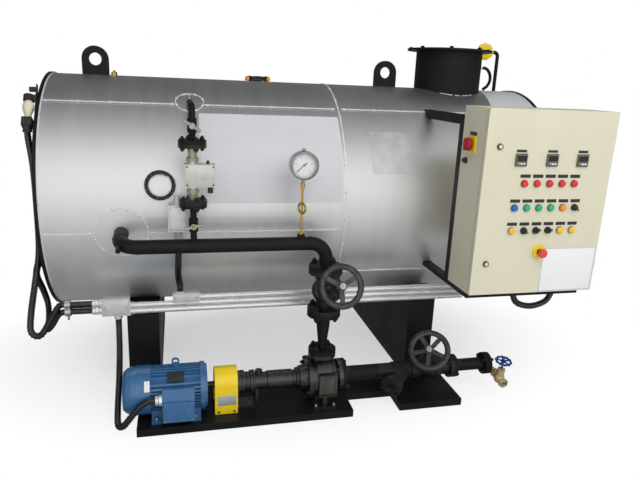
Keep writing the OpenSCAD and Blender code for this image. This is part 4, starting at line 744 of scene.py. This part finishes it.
# Bright hub nuts on the two handwheels
STEM_TOP = 301
for body, base, axis in (("discharge_wheel", (RISER_X, LINE_Y, VALVE_Z), RISER_STEM),
                         ("suction_wheel", (SUCTION_X, LINE_Y, PUMP_Z), SUCTION_STEM)):
    spot = at(*(Vector(base) + axis * STEM_TOP), axis=axis)
    Piece(body + "_nut", "steel", body, 30).add(hex_nut(27, 15), spot).add(stud(13, 20), spot).make()

# Pressure gauge: dial, scale, numbers, pointer, glass and rim
GAUGE_X, GAUGE_Z, DIAL_Y, DIAL_R = 1092, 1146, LINE_Y - 13, 53.4
SCALE_START, SCALE_SWEEP, SCALE_STEPS, SCALE_R = 225, 270, 50, 47.5
POINTER_TURN, NUMBERS, NUMBER_R = 222, 6, 33


def gauge_at(y):
    return at(GAUGE_X, y, GAUGE_Z, FRONT)


Piece("gauge_dial", "dial").add(lathe([(DIAL_R, 0), (DIAL_R, 2), (TIP, 2)], 48), gauge_at(DIAL_Y)).make()
marks = Piece("gauge_marks", "dark")
for k in range(SCALE_STEPS + 1):
    t = rad(SCALE_START - SCALE_SWEEP * k / SCALE_STEPS)
    is_main = k % 10 == 0
    length = 9 if is_main else (6.5 if k % 5 == 0 else 4)
    spot = gauge_at(DIAL_Y - 2.05) @ spin(t) @ shift(SCALE_R - length / 2)
    marks.add(block(length, 1.1 if is_main else 0.6, 0.3, 0), spot)
marks.add(ring_shape([(49.2, 0), (49.2, 0.3), (48.2, 0.3), (48.2, 0)], 60), gauge_at(DIAL_Y - 2.05))
marks.make()
needle = Piece("gauge_needle", "dark")
spot = gauge_at(DIAL_Y - 5) @ spin(rad(POINTER_TURN))
needle.add(block(44, 2.5, 0.8, 0.2), spot @ shift(20))
needle.add(block(16, 4.2, 0.8, 0.2), spot @ shift(-10))
needle.add(lathe([(4.5, -3), (4.5, 1.5), (3, 2.4), (TIP, 2.6)], 20), gauge_at(DIAL_Y - 5))
needle.make()
for k in range(NUMBERS):
    t = rad(SCALE_START - SCALE_SWEEP * k / (NUMBERS - 1))
    text = bpy.data.curves.new(f"gauge_number_{k}", "FONT")
    text.body = str(2 * k)
    text.size = 0.009
    text.align_x = "CENTER"
    text.align_y = "CENTER"
    text.extrude = 0.0001
    obj = bpy.data.objects.new(f"gauge_number_{k}", text)
    scene.collection.objects.link(obj)
    place = metres(GAUGE_X + NUMBER_R * cos(t), DIAL_Y - 2.2, GAUGE_Z + NUMBER_R * sin(t))
    obj.matrix_world = Matrix.Translation(place) @ Matrix.Rotation(pi / 2, 4, "X")
    text.materials.append(MATERIAL["dark"])
    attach(obj, "heater")
Piece("gauge_glass", "glass").add(lathe([(53.5, 0), (53.5, 2), (TIP, 2.6)], 48), gauge_at(LINE_Y - 33)).make()
rim = Piece("gauge_rim", "rim", angle=50)
rim.add(ring_shape([(61, 0), (61.4, 5), (60, 9), (56, 10), (53, 7), (53, 0)], 64), gauge_at(LINE_Y - 28))
rim.make()

# Shut-off levers: rolled bars, and the nuts that hold them
BAR_OUT, NUT_OUT = 40, 44
LEVERS = (("upper_cock", 0.872, rad(32), "steel"), ("lower_cock", 0.16, rad(-14), "brass"))
for body, share, turn, key in LEVERS:
    z = up_bypass(share)
    bar = Piece(body + "_bar", "steel", body, 50)
    bar.add(lathe([(4.2, -39), (5.6, -38), (5.6, 38), (4.2, 39)], 16),
            at(BYPASS_X, LINE_Y - BAR_OUT, z, (cos(turn), 0, -sin(turn)), FRONT))
    obj = bar.make()
    Piece(body + "_nut", key, body, 30).add(hex_nut(13.5, 7), at(BYPASS_X, LINE_Y - NUT_OUT, z, FRONT)).make()

# Cabinet door gear: one piece for each finish
DOOR_Y, STOP_X, STOP_Z, SIGN_X, SIGN_Z, LOCK_X = -970.0, 2085, 819, 2240, 733, 1838
door_fit = {}


def on_door(key):
    if key not in door_fit:
        door_fit[key] = Piece("door_" + key, key, "door", 40)
    return door_fit[key]


def door_at(x, z, lift=0.0):
    return at(x, DOOR_Y - lift, z, FRONT)


def label(x, z, w, h):
    on_door("dark").add(block(w, h, 0.8, 0.2), door_at(x, z))


def lamp(x, z, key):
    on_door("grey").add(ring_shape([(16, 0), (16, 2.5), (15, 4), (12.5, 4), (12.5, 0)], 36), door_at(x, z))
    cap = lathe([(14, 0), (14, 9), (13.2, 12), (10.5, 14.2), (5, 15.4), (TIP, 15.7)], 36)
    on_door(key).add(cap, door_at(x, z))


def selector(x, z, turn):
    base = lathe([(15.5, 0), (15.5, 3), (14, 6), (13, 12), (12, 13), (TIP, 13.2)], 36)
    on_door("dark").add(base, door_at(x, z))
    spot = door_at(x, z, 10) @ spin(rad(turn))
    on_door("dark").add(block(29, 8, 14, 2), spot)
    on_door("white").add(block(9, 1.4, 0.5, 0), spot @ shift(9, 0, 14))


def door_row(x, pitch, z, fits, label_x, label_up, label_w):
    """A row of lamps, each given by its finish, and selectors, each given by its turn, with labels above."""
    for fit in fits:
        if isinstance(fit, str):
            lamp(x, z, fit)
        else:
            selector(x, z, fit)
        label(x + label_x, z + label_up, label_w, 14)
        x += pitch


def controller(x):
    label(x, 1250, 46, 10)
    on_door("grey").add(block(52, 52, 9, 2), door_at(x, 1214))
    on_door("screen").add(block(43, 22, 1, 0.4), door_at(x, 1221, 9))
    on_door("grey").add(block(8, 5, 2, 0.6), door_at(x - 14, 1198, 9))
    for dx in (-12, 0, 12):
        on_door("white").add(block(9, 6, 1.4, 0.5), door_at(x + dx, 1199, 9))


door_row(1970, 59, 1116, ["red"] * 5, 2, 31, 48)
door_row(1938, 57.5, 1013, ["button_blue", "green", "green", "green", "orange", -40], 1, 29, 46)
door_row(1938, 58, 914, ["amber", -35, 30, 20, "amber", "amber"], 1, 29, 46)
for i in range(3):
    controller(1940 + 144.5 * i)
for z in (1266, 771):
    on_door("lock").add(ring_shape([(13, 0), (13, 5), (11.5, 8.5), (8, 8.5), (8, 0)], 32), door_at(LOCK_X, z))
    on_door("dark").add(lathe([(8, 0), (8, 6), (TIP, 6.4)], 24), door_at(LOCK_X, z))
    on_door("lock").add(block(3, 10, 0.5, 0), door_at(LOCK_X, z, 6.4))
spot = door_at(STOP_X, STOP_Z)
on_door("yellow").add(lathe([(31, 0), (31, 6), (29, 8), (TIP, 8)], 48), spot)
on_door("dark").add(lathe([(14, 8), (14, 22), (TIP, 22)], 24), spot)
mushroom = [(14, 22), (18.5, 25), (20, 29), (20, 34), (18, 38.5), (12, 41.3), (TIP, 42)]
on_door("stop_red").add(lathe(mushroom, 40), spot)
on_door("white").add(block(256, 190, 0.8, 0.3), door_at(SIGN_X, SIGN_Z))
on_door("plate").add(block(262, 196, 0.4, 0.1), door_at(SIGN_X, SIGN_Z))
for piece in door_fit.values():
    obj = piece.make()
    if piece.key == "red":
        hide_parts("door_buttons")
    if piece.key == "stop_red":
        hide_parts("emergency_stop")
    if piece.key == "grey":
        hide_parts("door_controllers")

# Drain valve: lobed rim of its wheel, the wheel's nut and the bright mouth
DRAIN, DRAIN_TILT, LOBES, LOBE_R = Vector((2108, LINE_Y, 116)), rad(10), 10, 35.5
mouth_dir = Vector((0, -cos(DRAIN_TILT), -sin(DRAIN_TILT)))
wheel_dir = Vector((0, -sin(DRAIN_TILT), cos(DRAIN_TILT)))
lobes = Piece("drain_wheel_lobes", "blue_wheel", "drain_wheel", 60)
spot = at(*(DRAIN + mouth_dir * 78 + wheel_dir * 103), axis=wheel_dir)
lobe = lathe([(TIP, -5.8), (4, -5), (6.6, -2), (6.6, 2), (4, 5), (TIP, 5.8)], 14)
for _, step in around(LOBES, LOBE_R):
    lobes.add(lobe, spot @ step)
lobes.make()
Piece("drain_wheel_nut", "steel", "drain_wheel", 30).add(hex_nut(12, 6), spot @ shift(z=8)).make()
mouth = Piece("drain_mouth", "nickel", angle=40)
mouth.add(ring_shape([(13.2, -6), (13.2, 1.2), (15, 2), (19, 2), (20, 0.5), (20, -0.2), (16, -0.2)], 36),
          at(*(DRAIN + mouth_dir * 126), axis=mouth_dir))
mouth.make()

# Isolator on the cabinet's side: knob, label and a cap over the latch
CABINET_X = 1777
knob = Piece("isolator_knob", "deep_red", "isolator", 50)
knob.add(lathe([(24, 0.2), (27, 2), (27, 14), (25.5, 18), (21, 21.5), (14, 23), (TIP, 23.5)], 40),
         at(CABINET_X - 13, -855.9, 1262.2, LEFT))
knob.make()
trim = Piece("isolator_label", "dark")
trim.add(block(58, 15, 1, 0.3), at(CABINET_X, -856, 1306, LEFT, (0, 1, 0)))
trim.add(lathe([(13, 0.2), (13, 7), (10.6, 8), (10.6, 13), (8, 17), (TIP, 18)], 28),
         at(CABINET_X, -815, 1189.8, LEFT))
trim.make()

# Motor: fan grille, blank plates, terminal box lid and its screws, and the guard's plate and screws
BOX_X, BOX_Y, BOX_Z, GUARD_Y = 558, -839.8, 112, LINE_Y - 68
grille = Piece("fan_grille", "dark")
for k in range(3):
    for t, _ in around(10 + 6 * k, 0):
        spot = at(326, LINE_Y, PUMP_Z, LEFT) @ spin(t) @ shift(30 + 20 * k, 0, -0.2)
        grille.add(block(13, 6, 0.6, 0.2), spot)
grille.make()
Piece("name_plates", "dark").add(block(70, 44, 1.2, 0.3), at(548, LINE_Y - 62, 236, (0, -0.62, 0.78))).make()
Piece("blank_label", "white").add(block(22, 46, 0.6, 0.2), at(428, LINE_Y - 88, 211, (0, -0.82, 0.57))).make()
lid = Piece("terminal_lid", "blue")
lid.add(block(122, 92, 4, 1.5), at(BOX_X, BOX_Y, BOX_Z, FRONT))
lid.add(block(62, 64, 1.8, 0.8), at(BOX_X + 14, BOX_Y - 4, BOX_Z, FRONT))
for dx in (-17, 0, 17):
    lid.add(block(9, 44, 4.2, 2), at(BOX_X + 14 + dx, BOX_Y - 4, BOX_Z, FRONT))
lid.make()
screws = Piece("small_screws", "steel", angle=40)
for dx in (-54, 54):
    for dz in (-39, 39):
        screws.add(lathe([(4.5, 0), (4.5, 2), (3.4, 3.2), (TIP, 3.3)], 12),
                   at(BOX_X + dx, BOX_Y - 4, BOX_Z + dz, FRONT))
for x in (731, 800):
    screws.add(hex_nut(11, 5), at(x, GUARD_Y, 48, FRONT))
screws.make()
Piece("guard_plate", "plate").add(block(82, 46, 0.9, 0.3), at(767, GUARD_Y, 100, FRONT)).make()

# Conduit clamps on the saddles: two rows on the left one and three on the right one
CONDUIT_Y, CONDUIT_Z, CONDUIT_PITCH = -493.3, 442, 28
clamps = Piece("conduit_clamps", "zinc")
for x, rows in ((395, 2), (415, 2), (1781, 3), (1801, 3)):
    for row in range(rows):
        clamps.add(ring_shape([(13.05, -9), (13.9, -9), (13.9, 9), (13.05, 9)], 32),
                   at(x, CONDUIT_Y, CONDUIT_Z + CONDUIT_PITCH * row, RIGHT))
clamps.make()


# Cable glands: each is a round or hexagonal collar from one height to another along its cable

def collar(low, high, inner, outer, sides=6):
    return ring_shape([(inner, low), (outer - 1, low), (outer, low + 1), (outer, high - 1), (outer - 1, high),
                       (inner, high)], sides)


ROUND = 32
HOSE_GLAND = [(192, 203, 15.2, 18.6, ROUND), (206, 216, 16, 19.6), (222, 234.5, 16, 18.8, ROUND)]
CONDUIT_GLAND = [(351, 359, 12, 18), (362, 371, 12, 15.4, ROUND)]
CABINET_GLAND = [(606, 617, 15.1, 19.5, ROUND), (619, 630.8, 17, 22)]
BRIGHT_GLANDS = [
    (at(0, CONDUIT_Y, 452, RIGHT), HOSE_GLAND),
    (at(0, CONDUIT_Y, 486, RIGHT), HOSE_GLAND),
    (at(0, CONDUIT_Y, CONDUIT_Z, RIGHT), CONDUIT_GLAND),
    (at(0, CONDUIT_Y, CONDUIT_Z + CONDUIT_PITCH, RIGHT), CONDUIT_GLAND),
    (at(299, -498, 0), [(413, 420, 15.2, 18.2, ROUND), (423, 433, 16, 20)]),
    (at(0, -821.8, 165, RIGHT), [(463, 475, 15.1, 20, ROUND), (477, 490.5, 16, 22.5)]),
    (at(574, -500, 0), [(525.4, 533, 15.1, 18.5, ROUND)]),
]
BLACK_GLANDS = [
    (at(2060, -860, 0), CABINET_GLAND),
    (at(2262, -860, 0), CABINET_GLAND),
    (at(-31, -412, 0), [(1233, 1243, 15.1, 19, ROUND)]),
    (at(0, -374, 640, RIGHT), [(-27, -16, 15.1, 19.5, ROUND), (-12, -0.4, 17, 21.5)]),
]
for name, key, glands in (("bright_glands", "zinc", BRIGHT_GLANDS), ("black_glands", "dark", BLACK_GLANDS)):
    piece = Piece(name, key, angle=30)
    for spot, collars in glands:
        for sizes in collars:
            piece.add(collar(*sizes), spot)
    piece.make()

# Lids of the two conduit boxes and of the sensor head, with their screws
BOXES, BOX_FRONT = ((292.5, 472.5, 109, 71), (601, 504.3, 108, 36)), -521
SENSOR_X, SENSOR_FRONT, SENSOR_Z = 573, -658, 910
lids = Piece("box_lids", "alu", angle=40)
for x, z, w, h in BOXES:
    lids.add(block(w, h, 3, 2.4), at(x, BOX_FRONT, z, FRONT))
lids.add(block(70, 100, 3.4, 4), at(SENSOR_X, SENSOR_FRONT, SENSOR_Z, FRONT))
lids.add(lathe([(17, 963.8), (17, 967), (14, 976), (14, 979)], 32), at(SENSOR_X, -617, 0))
lids.make()
tops = Piece("lid_screws", "steel", angle=40)
small = lathe([(3.4, 0), (3.4, 1.6), (2.4, 2.6), (TIP, 2.7)], 12)
for dx in (-46, 46):
    for x, z, w, h in BOXES:
        tops.add(small, at(x + dx, BOX_FRONT - 3, z, FRONT))
for dx in (-30, 30):
    for dz in (-45, 45):
        tops.add(small, at(SENSOR_X + dx, SENSOR_FRONT - 3.4, SENSOR_Z + dz, FRONT))
tops.make()

# Pump: ribs on the casing's side cover, and machined bands on the bearing housing
COVER_X, COVER_Y = 1223, LINE_Y - 95
cover = Piece("pump_side_cover", "pump_face", angle=40)
cover.add(block(80, 92, 1.6, 0.8), at(COVER_X, COVER_Y, PUMP_Z, FRONT))
for dx in (-38, 38):
    cover.add(block(8, 92, 5, 2), at(COVER_X + dx, COVER_Y, PUMP_Z, FRONT))
cover.add(block(36, 66, 3.4, 1.5), at(COVER_X + 6, COVER_Y, PUMP_Z, FRONT))
cover.make()
rings = Piece("bearing_rings", "pump", angle=50)
for x, r in ((832, 53.5), (856, 46), (882, 52), (1090, 48.5)):
    ring = ring_shape([(r - 8, 0), (r, 1.5), (r + 1.2, 4), (r, 6.5), (r - 8, 8)], 56)
    rings.add(ring, at(x, LINE_Y, PUMP_Z, RIGHT))
rings.make()

# Flue: a plugged sensor point with its tail and tab, flange bolts, and remains of sealant at its foot
pocket = Piece("flue_pocket", "white", angle=40)
pocket.add(lathe([(11, 0), (11, 14), (8, 18), (8, 24)], 24), at(2212, -14, 1597, (0.95, -0.3, 0)))
pocket.make()
tail = Piece("flue_pocket_tail", "black", angle=60)
tail_line = route((2234, -20, 1597), (2258, -22, 1594), (2284, -16, 1570), (2296, -8, 1534), (2286, 0, 1500),
                  (2262, 4, 1481))
tail.add(sweep(tail_line, 0.0085, 14))
tail.add(block(20, 22, 34, 3), at(2219, 0, 1618))
tail.make()
Piece("flue_pocket_tab", "orange", angle=40).add(block(13, 18, 26, 3), at(2226, 4, 1546)).make()
flue_bolts = Piece("flue_bolts", "black", angle=30)
for _, step in around(8, 207.5, rad(22.5)):
    flue_bolts.add(hex_nut(19, 9), at(FLUE_X, 0, 1682) @ step)
flue_bolts.make()
SEAL_R, SEAL_STEPS = 179.5, 12
sealant = Piece("flue_sealant", "alu", angle=60)
for start, end in ((-124, -103), (-99, -91), (-87, -66)):
    line = []
    for k in range(SEAL_STEPS + 1):
        t = rad(start + (end - start) * k / SEAL_STEPS)
        y = SEAL_R * sin(t)
        line.append(metres(FLUE_X + SEAL_R * cos(t), y, AXIS_H + sqrt(DRUM_R ** 2 - y ** 2) + 0.5))
    sealant.add(sweep(line, 0.0018, 8))
sealant.make()

# Grip of the vent's yellow cap
CAP_TURN = rad(24)
grip = Piece("cap_grip", "yellow", angle=50)
spot = at(2302, 100, 1690, (-sin(CAP_TURN), -cos(CAP_TURN), 0), UP)
skirt = [(44, -9), (45.4, -6), (45.4, 6), (44, 9), (36, 12.5), (30, 12.5), (30, 9), (30, -9)]
grip.add(ring_shape(skirt, 48), spot)
for _, step in around(9, 41):
    grip.add(lathe([(7, -9), (8, -7), (8, 7), (7, 9)], 14), spot @ step)
grip.add(lathe([(15, 11), (15, 15), (11, 19), (TIP, 19.5)], 24), spot)
grip.make()

# Small things on the drum's top: a brass plug by the left lug and a strap with orange ends
spot = at(288, -18, 1474)
Piece("top_plug", "brass", angle=30).add(hex_nut(24, 16), spot).add(stud(13, 24), spot).make()
STRAP_X, STRAP_Y, DRUM_TOP, LOOP_STEPS = 990, 34, AXIS_H + DRUM_R, 36
strap = Piece("top_strap", "hose", angle=60)
for k, (w, h, lift) in enumerate(((56, 30, 6), (50, 25, 13), (54, 28, 19))):
    loop = []
    for i in range(LOOP_STEPS + 1):
        t = 2 * pi * i / LOOP_STEPS
        loop.append(metres(STRAP_X + w * cos(t + k), STRAP_Y + h * sin(t + k),
                      DRUM_TOP + lift + 2 * sin(3 * t)))
    strap.add(sweep(loop, 0.0055, 10))
strap.make()
ends = Piece("top_strap_ends", "orange", angle=40)
for x, turn in ((934, 0.3), (1042, -0.4)):
    ends.add(block(16, 22, 20, 3), at(x, 22, 1476, UP, (cos(turn), sin(turn), 0)))
ends.make()


# Floor and light

def floor_material():
    """White to the camera away from the part, shaded under it; to reflections a glow with painted shade,
    darkest near the part and lighter to the front.
    """
    material, tree, bsdf = new_material("floor")
    grey = ramp(tree, noise(tree, 3.0), greys((0.3, 0.80), (0.7, 0.84)))
    feed(tree, bsdf, base_color=grey, roughness=0.8)
    bsdf.inputs["Specular IOR Level"].default_value = 0.2
    path = add_node(tree, "LightPath")
    place = add_node(tree, "TexCoord").outputs["Object"]
    under = add_node(tree, "Mapping", vector=place, location=(0, -0.45, 0), scale=(1, 1.6, 1))
    away = combine(tree, "VectorMath", "LENGTH", under.outputs["Vector"])
    fade = add_node(tree, "MapRange", value=away, from_min=0.7, from_max=1.8, to_min=0.5, to_max=1.0)
    share = combine(tree, "Math", "MULTIPLY", path.outputs["Is Camera Ray"], fade.outputs["Result"])
    # Painted reflection: glossy rays see a glow instead of the lit floor, darker near the part as painted
    # shade
    across = add_node(tree, "SeparateXYZ", vector=place).outputs["Y"]
    ground = ramp(tree, combine(tree, "Math", "MULTIPLY", across, -1 / 12), greys(
        (0.029, 0.20), (0.047, 0.21), (0.066, 0.29), (0.0875, 0.33), (0.119, 0.41), (0.164, 0.54),
        (0.275, 0.66), (1.0, 0.78)))
    painted_reflection_glow = add_node(tree, "Emission", color=ground).outputs["Emission"]
    glow = add_node(tree, "Emission").outputs["Emission"]
    lit = mix_shaders(tree, path.outputs["Is Glossy Ray"], bsdf.outputs["BSDF"], painted_reflection_glow)
    feed(tree, tree.nodes["Material Output"], surface=mix_shaders(tree, share, lit, glow))
    return material


bpy.ops.mesh.primitive_plane_add(size=60, location=(0, 0, 0))
floor = bpy.context.object
floor.name = "floor"
floor.data.materials.append(floor_material())


def studio_world():
    """White to the camera, an even light on the part, and in reflections brightest in front."""
    world = bpy.data.worlds.new("studio")
    world.use_nodes = True
    tree = world.node_tree
    tree.nodes.clear()
    path = add_node(tree, "LightPath")
    direction = add_node(tree, "TexCoord").outputs["Generated"]
    facing = combine(tree, "VectorMath", "DOT_PRODUCT", direction, (0, -0.9455, 0.3256))
    sky = ramp(tree, facing, greys((0.0, 0.10), (0.225, 0.20), (0.63, 0.41), (0.85, 0.68), (0.91, 0.9),
                                   (0.95, 1.0)))
    lit = add_node(tree, "Background", color=(0.96, 0.98, 1.0, 1), strength=0.42).outputs["Background"]
    mirror = add_node(tree, "Background", color=sky).outputs["Background"]
    shown = add_node(tree, "Background", color=(1, 1, 1, 1)).outputs["Background"]
    direct, through = path.outputs["Is Camera Ray"], path.outputs["Is Transmission Ray"]
    seen = combine(tree, "Math", "MAXIMUM", direct, through)
    light = mix_shaders(tree, path.outputs["Is Glossy Ray"], lit, mirror)
    add_node(tree, "OutputWorld", surface=mix_shaders(tree, seen, light, shown))
    return world


scene.world = studio_world()


def area_light(name, place, target, size, power):
    data = bpy.data.lights.new(name, "AREA")
    data.shape = "RECTANGLE"
    data.size, data.size_y = size
    data.energy = power
    lamp_object = bpy.data.objects.new(name, data)
    scene.collection.objects.link(lamp_object)
    lamp_object.location = place
    lamp_object.rotation_euler = (Vector(target) - Vector(place)).to_track_quat("-Z", "Y").to_euler()
    lamp_object.visible_glossy = False


area_light("key", (0.5, -3.6, 4.2), (0, -0.2, 0.8), (2.6, 1.8), 70)
area_light("front", (0.3, -4.6, 2.5), (0, -0.3, 0.9), (4.4, 1.3), 55)
area_light("fill", (3.8, -3.6, 2.6), (0.6, -0.2, 0.8), (2.4, 2.4), 30)
area_light("top", (0.2, 0.6, 4.6), (0, 0, 1), (4.0, 2.0), 30)
